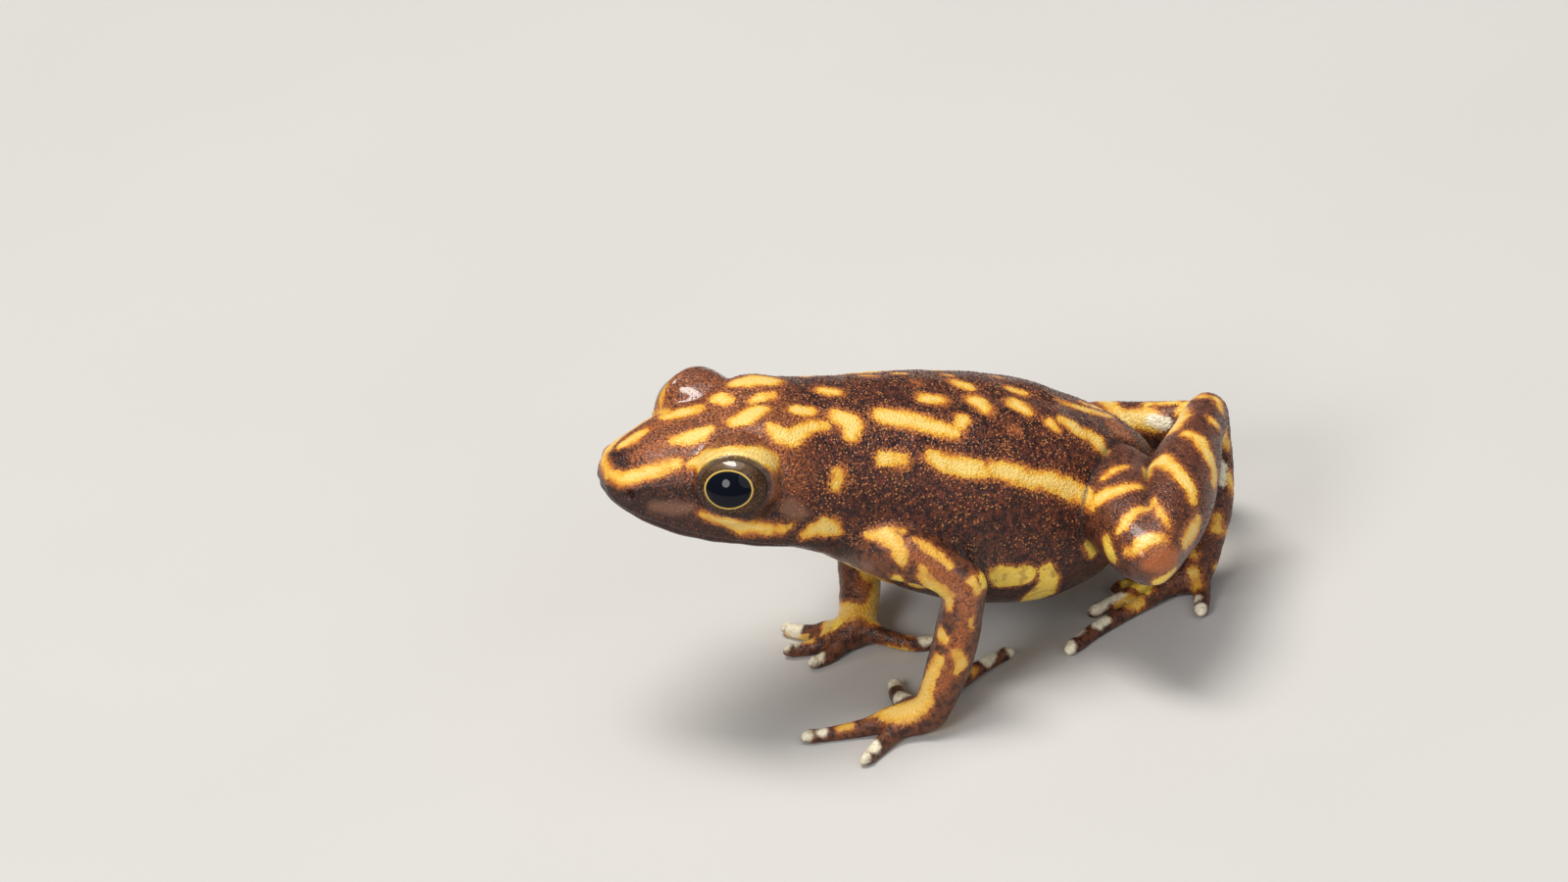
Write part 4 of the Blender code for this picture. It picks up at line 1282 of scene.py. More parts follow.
@dataclass(frozen=True)
class BodyRelief:
    """Swellings, hollows and unevenness of the body, in the trunk's frame, left side."""

    neck: float = -2.6
    hip: Numbers = (0.95, 3.9, 1.95)
    hip_swell: Bump = Bump(0.09, 0.75)
    crown: Numbers = (1.15, -4.60, 2.15)
    crown_swell: Bump = Bump(0.28, 1.05)
    spine: Bump = Bump(0.035, 0.35)
    spine_front: Step = Step(-3.0, -1.0)
    spine_rear: Step = Step(6.0, 4.0)
    uneven_height: float = 0.05
    uneven_cells: Numbers = (0.62, 0.30)
    calm_eye: Step = Step(1.2, 1.8)
    calm_floor: Step = Step(0.4, 1.2)
    folds: tuple[tuple[str, str, str], ...] = (
        ("trunk", "thigh", ""),
        ("thigh", "shank", "thigh"),
        ("shank", "tarsus", "shank"),
    )
    fold_depth: float = 0.075
    fold_width: Bump = Bump(1.0, 0.085)
    fold_reach: Step = Step(0.35, 0.05)
    fold_from_joint: Step = Step(1.0, 1.7)


@dataclass(frozen=True)
class PaintZones:
    """The soft borders between regions of the skin, and how each region is painted."""

    arm: Step = Step(-0.10, 0.35)
    leg: Step = Step(-0.10, 0.35)
    foot: Step = Step(-0.05, 0.25)
    foot_share: float = 0.9
    unseen: Step = Step(0.15, -0.25)
    blotch_cell: float = 1.15
    blotch_level: float = 0.58
    blotch_slope: float = 1.3
    belly_turn: Step = Step(-0.62, -0.92)
    belly_low: Step = Step(-0.45, -1.1)
    marble_cell: float = 1.25
    marble_level: float = 0.47
    marble_slope: float = 1.5
    outside: float = 0.5
    olive: Step = Step(-0.1, 0.05)
    rust: Step = Step(-0.12, 0.22)
    dusk: Step = Step(-0.10, 0.16)
    back_turn: Step = Step(-0.35, 0.25)
    back_front: Step = Step(-7.9, -6.6)
    crown_rear: Step = Step(-3.2, -4.4)
    crown_low: Step = Step(0.7, 1.3)
    crown_front: Step = Step(-8.6, -7.9)
    crown_rust: float = 0.55
    # The face zone: the lower sides of the head, painted darker (partly painted shade) and with fewer specks.
    face_rear: Step = Step(-3.6, -4.6)
    face_top: Step = Step(0.9, 0.2)
    face_calm: float = 0.8
    round_eye: Step = Step(1.1, 1.5)
    lid: Step = Step(1.10, 1.04)
    wet_lid: Step = Step(1.50, 1.28)
    wet_above: Step = Step(0.9, 1.5)
    wet_joint: Bump = Bump(0.8, 1.0)
    wet_joints: tuple[str, ...] = ("upper_arm_left", "upper_arm_right", "thigh_left", "thigh_right")


@dataclass
class Skin:
    """The one skin over head, body and limbs: its form, its sculpted details and its paint."""

    anatomy: Anatomy
    face: FaceForm
    eye: EyeForm
    view: Viewpoint
    lids: LidForm = LidForm()
    digits: DigitForm = DigitForm()
    relief: BodyRelief = BodyRelief()
    zones: PaintZones = PaintZones()
    voxel: float = 0.1105
    fine_eye: float = 1.62
    fine_mouth: float = 0.28
    fine_nostril: float = 0.32
    fine_eardrum: float = 0.55
    fine_floor: float = 0.75
    fine_digit: float = 0.12
    points: np.ndarray = field(default_factory=lambda: np.zeros((0, 3)))
    triangles: np.ndarray = field(default_factory=lambda: np.zeros((0, 3), int))
    creases: np.ndarray = field(default_factory=lambda: np.zeros(0))

    def normals(self) -> np.ndarray:
        """Unit normals at the skin's points."""
        a, b, c = (self.points[self.triangles[:, i]] for i in range(3))
        faces = np.cross(b - a, c - a)
        total = np.zeros_like(self.points)
        for column in range(3):
            for corner in range(3):
                total[:, column] += np.bincount(self.triangles[:, corner], faces[:, column], len(self.points))
        return total / np.maximum(np.linalg.norm(total, axis=1), TINY)[:, None]

    def soften(self, strength: np.ndarray, times: int) -> None:
        """Draws each point towards the mean of its neighbours.

        Args:
            strength: the share of the way for each point.
            times: how many times.
        """
        one = np.concatenate([self.triangles[:, i] for i in (0, 1, 2, 1, 2, 0)])
        other = np.concatenate([self.triangles[:, i] for i in (1, 2, 0, 0, 1, 2)])
        count = np.maximum(np.bincount(one, minlength=len(self.points)), 1)
        for _ in range(times):
            for column in range(3):
                mean = np.bincount(one, self.points[other, column], len(self.points)) / count
                self.points[:, column] += strength * (mean - self.points[:, column])

    def cast(self) -> None:
        """Joins all forms into one skin and makes the parts with fine detail denser."""
        rough = linked("rough", self.anatomy.build().mesh("rough"))
        joining = rough.modifiers.new("join", "REMESH")
        joining.mode = "VOXEL"
        joining.voxel_size = self.voxel
        joined = applied(rough)
        bpy.data.objects.remove(rough)
        sheet = bmesh.new()
        sheet.from_mesh(joined)
        bmesh.ops.triangulate(sheet, faces=sheet.faces)
        self.read(sheet)
        self.soften(np.full(len(self.points), 0.5), 5)
        for vert, place in zip(sheet.verts, self.points):
            vert.co = place
        fine = self.fine_region()
        edges = [edge for edge in sheet.edges if all(fine[vert.index] for vert in edge.verts)]
        bmesh.ops.subdivide_edges(sheet, edges=edges, cuts=1, use_grid_fill=True)
        bmesh.ops.triangulate(sheet, faces=sheet.faces)
        self.read(sheet)
        sheet.free()
        self.soften(0.5 * self.fine_region().astype(float), 3)

    def read(self, sheet: bmesh.types.BMesh) -> None:
        """Keeps the points and triangles of a mesh being edited."""
        sheet.verts.ensure_lookup_table()
        sheet.verts.index_update()
        self.points = np.array([vert.co[:] for vert in sheet.verts])
        self.triangles = np.array([[vert.index for vert in face.verts] for face in sheet.faces])

    def fine_region(self) -> np.ndarray:
        """Where the skin needs finer detail: eyes, mouth, nostrils, eardrums and digits."""
        trunk = self.anatomy.trunk
        local = trunk.inward(self.points)
        folded = left_side(local)
        fine = np.linalg.norm(folded - self.eye.centre, axis=1) < self.fine_eye
        fine |= nearest_on_path(local, self.face.mouth(trunk))[0] < self.fine_mouth
        for place, size in ((self.face.nostril, self.fine_nostril), (self.face.eardrum, self.fine_eardrum)):
            fine |= np.linalg.norm(folded - self.face.on_flank(trunk, (place,), 1)[0], axis=1) < size
        for form in self.anatomy.extremities:
            near = np.flatnonzero(self.points[:, 2] < self.fine_floor)
            fine[near] |= form.reach(self.points[near]) < self.fine_digit
        return fine

    def round_digits(self) -> None:
        """Gives the digits back the roundness that joining took from them."""
        how = self.digits
        for form in (form for extremity in self.anatomy.extremities for form in extremity.forms()):
            path = form.path()
            near = np.flatnonzero(self.points[:, 2] < how.highest)
            distance, where = nearest_on_path(self.points[near], path)
            share = where / (len(path) - 1)
            radius = np.interp(where, np.arange(len(path)), path[:, 3])
            strength = how.start(share) * how.end(share) * how.reach(distance / radius)
            index = where.astype(int)
            part = (where - index)[:, None]
            after = np.minimum(index + 1, len(path) - 1)
            axis = path[index, :3] * (1 - part) + path[after, :3] * part
            slim = 1 - how.slimming * how.slim_start(share) * how.slim_end(share)
            axis[:, 2] -= radius * (1 - slim)
            away = self.points[near] - axis
            target = axis + away * (radius * slim / np.maximum(np.linalg.norm(away, axis=1), 1e-6))[:, None]
            self.points[near] += strength[:, None] * (target - self.points[near])

    def shape_lids(self) -> None:
        """Opens the lids round both eyes and gives them a rim and a crease."""
        how = self.lids
        local = self.anatomy.trunk.inward(self.points)
        centre = np.array(self.eye.centre)
        for side in (1, -1):
            flip = np.array([side, 1.0, 1.0])
            near = np.flatnonzero(np.linalg.norm(local * flip - centre, axis=1) < how.reach)
            places = local[near] * flip
            share, distance = self.eye.opening(places)
            _, rise, _ = self.eye.angles(places)
            lid = how.radius + how.upper_rise * how.upper(rise) - how.lower_drop * how.lower(rise)
            rim = how.sunk_radius + (lid - how.sunk_radius) * how.rim(share)
            rim = rim - how.crease(share - how.crease_share)
            strength = how.outer(share) * how.depth(distance)
            grown = distance * (1 - strength) + rim * strength
            local[near] = (centre + (places - centre) * (grown / distance)[:, None]) * flip
        self.points = self.anatomy.trunk.outward(local)

    def crease_field(self, reaches: np.ndarray) -> np.ndarray:
        """Where two parts press together, from 0 to 1; the same share places painted shade in the folds.

        Args:
            reaches: how far the skin's places are outside each form.

        Returns:
            One share for each place.
        """
        how = self.relief
        names = self.anatomy.names()
        total = np.zeros(len(reaches))
        for side in ("left", "right"):
            for first, second, joint in how.folds:
                one = reaches[:, names.index(first if first == "trunk" else f"{first}_{side}")]
                other = reaches[:, names.index(f"{second}_{side}")]
                share = how.fold_width(np.abs(one - other)) * how.fold_reach(np.minimum(one, other))
                if joint:
                    end = self.anatomy.paths(f"{joint}_{side}")[0][-1]
                    share *= how.fold_from_joint(np.linalg.norm(self.points - end[:3], axis=1))
                total = np.maximum(total, share)
        return total

    def sculpt(self) -> None:
        """Adds lids, mouth, nostrils, eardrums, folds and the small unevenness of living skin."""
        self.round_digits()
        self.shape_lids()
        how = self.relief
        local = self.anatomy.trunk.inward(self.points)
        folded = left_side(local)
        head = np.flatnonzero(local[:, 1] < how.neck)
        height = np.zeros(len(local))
        height[head] = self.face.heights(local[head], self.anatomy.trunk)
        height += how.hip_swell(np.linalg.norm(folded - how.hip, axis=1))
        height += how.crown_swell(np.linalg.norm(folded - how.crown, axis=1))
        self.creases = self.crease_field(self.anatomy.reaches(self.points))
        height -= how.fold_depth * self.creases
        along = how.spine_front(local[:, 1]) * how.spine_rear(local[:, 1]) * (local[:, 2] > 0)
        height -= how.spine(folded[:, 0]) * along
        large, small = how.uneven_cells
        uneven = lattice_noise(self.points, large, 3) + 0.5 * lattice_noise(self.points, small, 5) - 0.75
        share, _ = self.eye.opening(folded)
        height += how.uneven_height * uneven * how.calm_eye(share) * how.calm_floor(self.points[:, 2])
        self.points += self.normals() * height[:, None]
        self.points[:, 2] = np.maximum(self.points[:, 2], 0.0)

    def wet_field(self, folded: np.ndarray) -> np.ndarray:
        """Where the skin shines most: the lids, the elbows and the knees.

        Args:
            folded: the skin's places in the trunk's frame, mirrored to the left side.

        Returns:
            One share for each place.
        """
        zones = self.zones
        wet = zones.wet_lid(np.linalg.norm(folded - self.eye.centre, axis=1)) * zones.wet_above(folded[:, 2])
        for name in zones.wet_joints:
            joint = self.anatomy.paths(name)[0][-1][:3]
            wet = np.maximum(wet, zones.wet_joint(np.linalg.norm(self.points - joint, axis=1)))
        return wet

    def nearest_of(self, reaches: np.ndarray, *words: str) -> np.ndarray:
        """How far each place is outside the nearest form whose name holds one of the words."""
        names = self.anatomy.names()
        chosen = [i for i, name in enumerate(names) if any(word in name for word in words)]
        return reaches[:, chosen].min(axis=1)

    def paint(self) -> dict[str, np.ndarray]:
        """All paint fields over the skin.

        Returns:
            One array of numbers for each attribute.
        """
        zones = self.zones
        tree = BVHTree.FromPolygons(self.points.tolist(), self.triangles.tolist())
        painter = SkinPainter(self.anatomy, self.view)
        reaches = self.anatomy.reaches(self.points)
        depths = painter.depths(self.points, reaches, painter.draw(tree))
        local = self.anatomy.trunk.inward(self.points)
        folded = left_side(local)
        normals = self.normals()
        trunk_up = (normals @ self.anatomy.trunk.turn())[:, 2]
        trunk = reaches[:, 0]
        nearest_leg = self.nearest_of(reaches, "thigh", "shank", "tarsus")
        arm = zones.arm(trunk - self.nearest_of(reaches, "arm", "hand"))
        leg = zones.leg(trunk - nearest_leg)
        foot = zones.foot(np.minimum(trunk, nearest_leg) - self.nearest_of(reaches, "foot"))
        limb = np.maximum(arm, foot * zones.foot_share)
        limbs = np.maximum(limb, leg)
        _, _, toward = self.view.axes()
        seen_right = normals @ (toward * np.array([-1.0, 1.0, 1.0]))
        right = [i for i, name in enumerate(self.anatomy.names()) if name.endswith("right")]
        seen = np.where(np.isin(reaches.argmin(axis=1), right), seen_right, normals @ toward)
        unseen = zones.unseen(seen) * limbs
        blotches = lattice_noise(self.points, zones.blotch_cell, 11)
        blotches = (blotches - zones.blotch_level) * zones.blotch_slope
        gold = np.maximum(depths[GOLD], blotches * unseen - zones.outside * (1 - unseen))
        belly = zones.belly_turn(trunk_up) * (1 - limbs) * zones.belly_low(local[:, 2])
        marbling = lattice_noise(self.points, zones.marble_cell, 23)
        marbling = (marbling - zones.marble_level) * zones.marble_slope
        gold = np.maximum(gold, marbling * belly - zones.outside * (1 - belly))
        share, _ = self.eye.opening(folded)
        back = zones.back_turn(trunk_up) * zones.back_front(local[:, 1]) * (1 - limb)
        crown = zones.crown_rear(local[:, 1]) * zones.crown_low(local[:, 2]) * zones.crown_front(local[:, 1])
        # Lower sides of the head: painted darker, partly as painted shade.
        face = zones.face_rear(local[:, 1]) * zones.face_top(local[:, 2])
        return {
            "gold": np.maximum(gold, depths[OLIVE]),
            "cream": depths[CREAM],
            "rust": np.maximum(zones.rust(depths[RUST]), zones.crown_rust * crown),
            "dusk": zones.dusk(depths[DUSK]),
            "green": np.maximum(zones.olive(depths[OLIVE]), belly),
            "limb": limb,
            "leg": leg,
            "specks": back * (1 - zones.face_calm * face) * zones.round_eye(share),
            "face": face,
            "lid": zones.lid(share),
            # crease: where painted shade darkens the folds between parts
            "crease": self.creases,
            "wet": self.wet_field(folded),
        }

    def build(self, shift: np.ndarray) -> bpy.types.Object:
        """Makes the finished skin.

        Args:
            shift: from the frog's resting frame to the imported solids' frame.

        Returns:
            The skin's object, at the origin and in metres.
        """
        self.cast()
        self.sculpt()
        mesh = bpy.data.meshes.new("skin")
        mesh.from_pydata(((self.points + shift) * METRES).tolist(), [], self.triangles.tolist())
        store(mesh, self.paint())
        return linked("skin", mesh)


@dataclass(frozen=True)
class Signal:
    """A number or colour that a node puts out; a sum with it adds one more node to the same sheet."""

    sheet: "NodeSheet"
    socket: bpy.types.NodeSocket

    def __add__(self, other: "Signal | float") -> "Signal":
        """Both together."""
        return self.sheet.maths("ADD", self, other)

    def __sub__(self, other: "Signal | float") -> "Signal":
        """This less the other."""
        return self.sheet.maths("SUBTRACT", self, other)

    def __rsub__(self, other: float) -> "Signal":
        """A plain number less this."""
        return self.sheet.maths("SUBTRACT", other, self)

    def __mul__(self, other: "Signal | float") -> "Signal":
        """One times the other."""
        return self.sheet.maths("MULTIPLY", self, other)

    def __truediv__(self, other: float) -> "Signal":
        """This divided by a plain number."""
        return self.sheet.maths("DIVIDE", self, other)

    def larger(self, other: "Signal") -> "Signal":
        """The larger of the two."""
        return self.sheet.maths("MAXIMUM", self, other)

    def root(self) -> "Signal":
        """Its square root."""
        return self.sheet.maths("SQRT", self, 0.0)

    def ranged(self, low: float, high: float, to_low: float = 0.0, to_high: float = 1.0) -> "Signal":
        """Spreads this softly from one range to another, held at both ends.

        Args:
            low: the value that gives to_low; it may be above high.
            high: the value that gives to_high.
            to_low: the new range's start.
            to_high: the new range's end.

        Returns:
            The spread value.
        """
        ends = {"Value": self, "From Min": low, "From Max": high, "To Min": to_low, "To Max": to_high}
        return self.sheet.signal("ShaderNodeMapRange", "Result", ends, interpolation_type="SMOOTHSTEP")


@dataclass(frozen=True)
class NodeSheet:
    """A node tree being drawn: it adds nodes and feeds their inputs."""

    tree: bpy.types.NodeTree

    def feed(self, node: bpy.types.Node, inputs: dict[str | int, object]) -> None:
        """Gives a node's inputs other nodes' outputs or plain values.

        Args:
            node: the node.
            inputs: a signal, an output or a plain value for each input's name or number.
        """
        for key, value in inputs.items():
            source = value.socket if isinstance(value, Signal) else value
            if isinstance(source, bpy.types.NodeSocket):
                self.tree.links.new(source, node.inputs[key])
            else:
                node.inputs[key].default_value = source

    def add(self, kind: str, inputs: dict[str | int, object], **settings: object) -> bpy.types.Node:
        """Adds one node.

        Args:
            kind: the node's type.
            inputs: what its inputs get.
            **settings: properties of the node.

        Returns:
            The node.
        """
        node = self.tree.nodes.new(kind)
        for name, value in settings.items():
            setattr(node, name, value)
        self.feed(node, inputs)
        return node

    def signal(
        self, kind: str, output: str | int, inputs: dict[str | int, object], **settings: object
    ) -> Signal:
        """Adds one node and gives one of its outputs, by name or number."""
        return Signal(self, self.add(kind, inputs, **settings).outputs[output])

    def group(self, tree: bpy.types.NodeTree, inputs: dict[str | int, object]) -> dict[str, Signal]:
        """Places a shader group and gives its outputs by name."""
        node = self.tree.nodes.new("ShaderNodeGroup")
        node.node_tree = tree
        self.feed(node, inputs)
        return {socket.name: Signal(self, socket) for socket in node.outputs}

    def maths(self, kind: str, first: Signal | float, second: Signal | float) -> Signal:
        """One sum of two numbers."""
        return self.signal("ShaderNodeMath", 0, {0: first, 1: second}, operation=kind)

    def attribute(self, name: str) -> Signal:
        """The value of a named attribute of the mesh."""
        return self.signal("ShaderNodeAttribute", "Fac", {}, attribute_name=name, attribute_type="GEOMETRY")

    def place(self) -> Signal:
        """The object's own coordinates."""
        return self.signal("ShaderNodeTexCoord", "Object", {})

    def noise(self, place: Signal, scale: Signal | float) -> Signal:
        """Soft noise over the given places, from 0 to 1."""
        return self.signal("ShaderNodeTexNoise", "Fac", {"Vector": place, "Scale": scale, "Detail": 2.0})

    def mixed(self, share: Signal, first: Signal | Numbers, second: Signal | Numbers) -> Signal:
        """Mixes two colours by a share."""
        inputs = {"Factor": share, "A": first, "B": second}
        return self.signal("ShaderNodeMix", "Result", inputs, data_type="RGBA")

    def ramp(self, value: Signal, stops: tuple[tuple[float, Numbers], ...]) -> Signal:
        """A colour for each value, through the given stops."""
        node = self.add("ShaderNodeValToRGB", {"Fac": value})
        band = node.color_ramp
        for place, colour in stops[1:-1]:
            band.elements.new(place).color = colour
        band.elements[0].position, band.elements[0].color = stops[0]
        band.elements[-1].position, band.elements[-1].color = stops[-1]
        return Signal(self, node.outputs["Color"])


@dataclass(frozen=True)
class Effect:
    """A shader group that materials share: it is built once, with named inputs and outputs."""

    name: str
    inputs: dict[str, float]
    outputs: dict[str, str]

    def draw(self, sheet: NodeSheet, given: dict[str, Signal]) -> dict[str, Signal]:
        """Draws the group's nodes; each effect has its own.

        Args:
            sheet: the group's sheet.
            given: the group's inputs.

        Returns:
            A signal for each output.
        """
        raise NotImplementedError

    def build(self) -> bpy.types.NodeTree:
        """The group, made the first time that it is asked for."""
        made = bpy.data.node_groups.get(self.name)
        if made is not None:
            return made
        made = bpy.data.node_groups.new(self.name, "ShaderNodeTree")
        for key, value in self.inputs.items():
            socket = made.interface.new_socket(name=key, in_out="INPUT", socket_type="NodeSocketFloat")
            socket.default_value = value
        for key, kind in self.outputs.items():
            made.interface.new_socket(name=key, in_out="OUTPUT", socket_type=kind)
        sheet = NodeSheet(made)
        node = sheet.add("NodeGroupInput", {})
        given = {key: Signal(sheet, node.outputs[key]) for key in self.inputs}
        sheet.add("NodeGroupOutput", self.draw(sheet, given))
        return made


@dataclass(frozen=True)
class GrainEffect(Effect):
    """The fine unevenness of wet skin: a height for bumps, a coarse mottle and a fine one."""

    name: str = "wet_grain"
    inputs: dict[str, float] = field(
        default_factory=lambda: {"Grains per metre": 14000.0, "Mottle per metre": 2600.0}
    )
    outputs: dict[str, str] = field(
        default_factory=lambda: dict.fromkeys(("Height", "Mottle", "Fine"), "NodeSocketFloat")
    )
    softness: float = 0.6
    fineness: float = 1.5
    fine_height: float = 0.5

    def draw(self, sheet: NodeSheet, given: dict[str, Signal]) -> dict[str, Signal]:
        """Draws the grains and both mottles."""
        place = sheet.place()
        grains = given["Grains per metre"]
        cells = {"Vector": place, "Scale": grains, "Smoothness": self.softness}
        distance = sheet.signal("ShaderNodeTexVoronoi", "Distance", cells, feature="SMOOTH_F1")
        fine = sheet.noise(place, grains * self.fineness)
        coarse = sheet.noise(place, given["Mottle per metre"])
        return {"Height": (1.0 - distance) + fine * self.fine_height, "Mottle": coarse, "Fine": fine}


@dataclass(frozen=True)
class PaintEffect(Effect):
    """The frog's colours and painted shade, from the skin's own fields: one group for skin and granules
    alike.
    """

    name: str = "frog_paint"
    inputs: dict[str, float] = field(default_factory=lambda: {"Specks": 1.0})
    outputs: dict[str, str] = field(
        default_factory=lambda: {"Color": "NodeSocketColor", "Paint": "NodeSocketFloat"}
    )
    fine_scale: float = 15000.0
    middle_scale: float = 5200.0
    pore_scale: float = 3300.0
    broken_scale: float = 2200.0
    coarse_scale: float = 900.0
    speck_scale: float = 13500.0
    gold_shrink: float = 0.018
    edge_rough: float = 0.11
    edge_grain: float = 0.08
    edge_grain_back: float = 0.16
    edge_rough_limb: float = 0.10
    gold_soft: float = 0.022
    gold_gentle_limb: float = 0.45
    gold_broken: float = 0.42
    ochre_share: float = 0.45
    olive_share: float = 0.70
    # Painted shade on skin turned downwards.
    smooth_dark: float = 0.045
    # How much of the face's darker brown and painted shade lies low on the head.
    face_share: float = 0.6
    dusk_share: float = 0.7
    rust_leg: float = 0.9
    speck_share: float = 0.85
    speck_crowd: float = 1.9
    speck_leg: float = 0.6
    lid_share: float = 0.85
    trunk: Numbers = (0.155, 0.040, 0.018, 1.0)
    trunk_dark: Numbers = (0.024, 0.009, 0.008, 1.0)
    # Darker brown low on the head: the face's own brown deepened by painted shade.
    face_dark: Numbers = (0.046, 0.018, 0.012, 1.0)
    thigh: Numbers = (0.130, 0.040, 0.020, 1.0)
    arm: Numbers = (0.170, 0.056, 0.024, 1.0)
    arm_dark: Numbers = (0.058, 0.021, 0.013, 1.0)
    rust: Numbers = (0.46, 0.130, 0.034, 1.0)
    dusk: Numbers = (0.27, 0.125, 0.072, 1.0)
    olive: Numbers = (1.0, 0.72, 0.095, 1.0)
    cream: Numbers = (0.95, 0.86, 0.64, 1.0)
    speck: Numbers = (0.74, 0.29, 0.090, 1.0)
    fringe: Numbers = (0.44, 0.130, 0.026, 1.0)
    ochre: Numbers = (0.76, 0.42, 0.070, 1.0)
    # Painted shade: the near-black that darkens the folds where parts press together.
    crease: Numbers = (0.018, 0.008, 0.007, 1.0)
    lid: Numbers = (0.030, 0.015, 0.012, 1.0)
    golds: tuple[tuple[float, Numbers], ...] = (
        (0.0, (0.50, 0.16, 0.026, 1.0)),
        (0.22, (0.76, 0.35, 0.036, 1.0)),
        (0.55, (0.84, 0.48, 0.060, 1.0)),
        (1.0, (0.90, 0.62, 0.180, 1.0)),
    )

    def draw(self, sheet: NodeSheet, given: dict[str, Signal]) -> dict[str, Signal]:
        """Draws brown body, rust, halo, specks, gold, cream, lids and painted shade in the folds, in that
        order.
        """
        place = sheet.place()
        fine = sheet.noise(place, self.fine_scale)
        middle = sheet.noise(place, self.middle_scale)
        specks = sheet.attribute("specks")
        limb = sheet.attribute("limb")
        leg = sheet.attribute("leg")
        ragged = (fine - 0.5) * (specks * self.edge_grain_back + self.edge_grain)
        ragged = ragged + (middle - 0.5) * self.edge_rough
        inside = (sheet.attribute("gold") - self.gold_shrink) + ragged
        inside = inside + (middle - 0.5) * (limb * self.edge_rough_limb)
        body = self.body(sheet, specks, limb, leg, fine, middle)
        halo = inside.ranged(-0.16, -0.01) * fine.ranged(0.38, 0.60, 0.25, 0.95)
        body = sheet.mixed(halo, body, self.fringe)
        dots = self.dots(sheet, place, inside) * (specks * given["Specks"]) * (1.0 - leg * self.speck_leg)
        body = sheet.mixed(dots * self.speck_share, body, self.speck)
        bright, gold = self.gold(sheet, place, inside, limb)
        colour = sheet.mixed(bright, body, gold)
        pale = (sheet.attribute("cream") + ragged).ranged(-0.06, 0.10)
        colour = sheet.mixed(pale * middle.ranged(0.30, 0.55, 0.75, 1.0), colour, self.cream)
        colour = sheet.mixed(sheet.attribute("lid") * self.lid_share, colour, self.lid)
        # Painted shade darkens the folds where parts press together.
        colour = sheet.mixed(sheet.attribute("crease") * self.lid_share, colour, self.crease)
        return {"Color": colour, "Paint": bright}

    def body(
        self, sheet: NodeSheet, specks: Signal, limb: Signal, leg: Signal, fine: Signal, middle: Signal
    ) -> Signal:
        """The browns under all markings, with dusk, rust and painted shade on downward-turned skin and low on
        the head.

        Args:
            sheet: the group's sheet.
            specks: how granular the skin is.
            limb: where arms, hands and feet are.
            leg: where thighs, shanks and tarsi are.
            fine: fine noise.
            middle: noise of middle size.

        Returns:
            The colour.
        """
        # Painted shade: skin turned downwards, away from the top, where the back's specks fade, is painted
        # darker.
        shaded = (middle * 0.45 + fine * 0.55) - (1.0 - specks) * self.smooth_dark
        body = sheet.mixed(shaded.ranged(0.42, 0.62), self.trunk_dark, self.trunk)
        # Partly painted shade: the lower sides of the head are painted darker, with the face's own darker
        # brown.
        body = sheet.mixed(sheet.attribute("face") * self.face_share, body, self.face_dark)
        body = sheet.mixed(leg * middle.ranged(0.30, 0.60, 0.2, 0.9), body, self.thigh)
        body = sheet.mixed(limb, body, sheet.mixed(middle.ranged(0.36, 0.60), self.arm_dark, self.arm))
        body = sheet.mixed(sheet.attribute("dusk") * self.dusk_share, body, self.dusk)
        patchy = fine.ranged(0.34, 0.62, 0.15, 0.90).larger(leg * self.rust_leg)
        return sheet.mixed(sheet.attribute("rust") * patchy, body, self.rust)

    def dots(self, sheet: NodeSheet, place: Signal, inside: Signal) -> Signal:
        """Bright specks, closer together near the markings.

        Args:
            sheet: the group's sheet.
            place: the object's coordinates.
            inside: how far inside the gold markings the skin is.

        Returns:
            Their mask.
        """
        cells = sheet.add("ShaderNodeTexVoronoi", {"Vector": place, "Scale": self.speck_scale})
        chance = sheet.signal("ShaderNodeSeparateColor", "Red", {"Color": cells.outputs["Color"]})
        crowded = sheet.noise(place, self.coarse_scale) * self.speck_crowd
        crowded = crowded + inside.ranged(-0.42, -0.05, 0.0, 0.30)
        round_dots = Signal(sheet, cells.outputs["Distance"]).ranged(0.42, 0.18)
        return round_dots * (chance + crowded).ranged(1.42, 1.62)

    def gold(self, sheet: NodeSheet, place: Signal, inside: Signal, limb: Signal) -> tuple[Signal, Signal]:
        """The gold of the markings, more ochre on the limbs and more olive on the belly.

        Args:
            sheet: the group's sheet.
            place: the object's coordinates.
            inside: how far inside the gold markings the skin is.
            limb: where arms, hands and feet are.

        Returns:
            The mask and the colour.
        """
        green = sheet.attribute("green")
        bright = (inside * (1.0 - limb * self.gold_gentle_limb)).ranged(-self.gold_soft, self.gold_soft)
        bright = bright * (1.0 - green * sheet.noise(place, self.pore_scale).ranged(0.50, 0.34, 0.0, 0.5))
        level = inside + (sheet.noise(place, self.broken_scale) - 0.46) * self.gold_broken
        gold = sheet.ramp(level.ranged(-0.02, 0.27), self.golds)
        gold = sheet.mixed(limb * self.ochre_share, gold, self.ochre)
        return bright, sheet.mixed(green * self.olive_share, gold, self.olive)


def new_material(name: str) -> tuple[bpy.types.Material, NodeSheet, bpy.types.Node]:
    """A new material, with its sheet and its main shader."""
    made = bpy.data.materials.new(name)
    made.use_nodes = True
    return made, NodeSheet(made.node_tree), made.node_tree.nodes["Principled BSDF"]


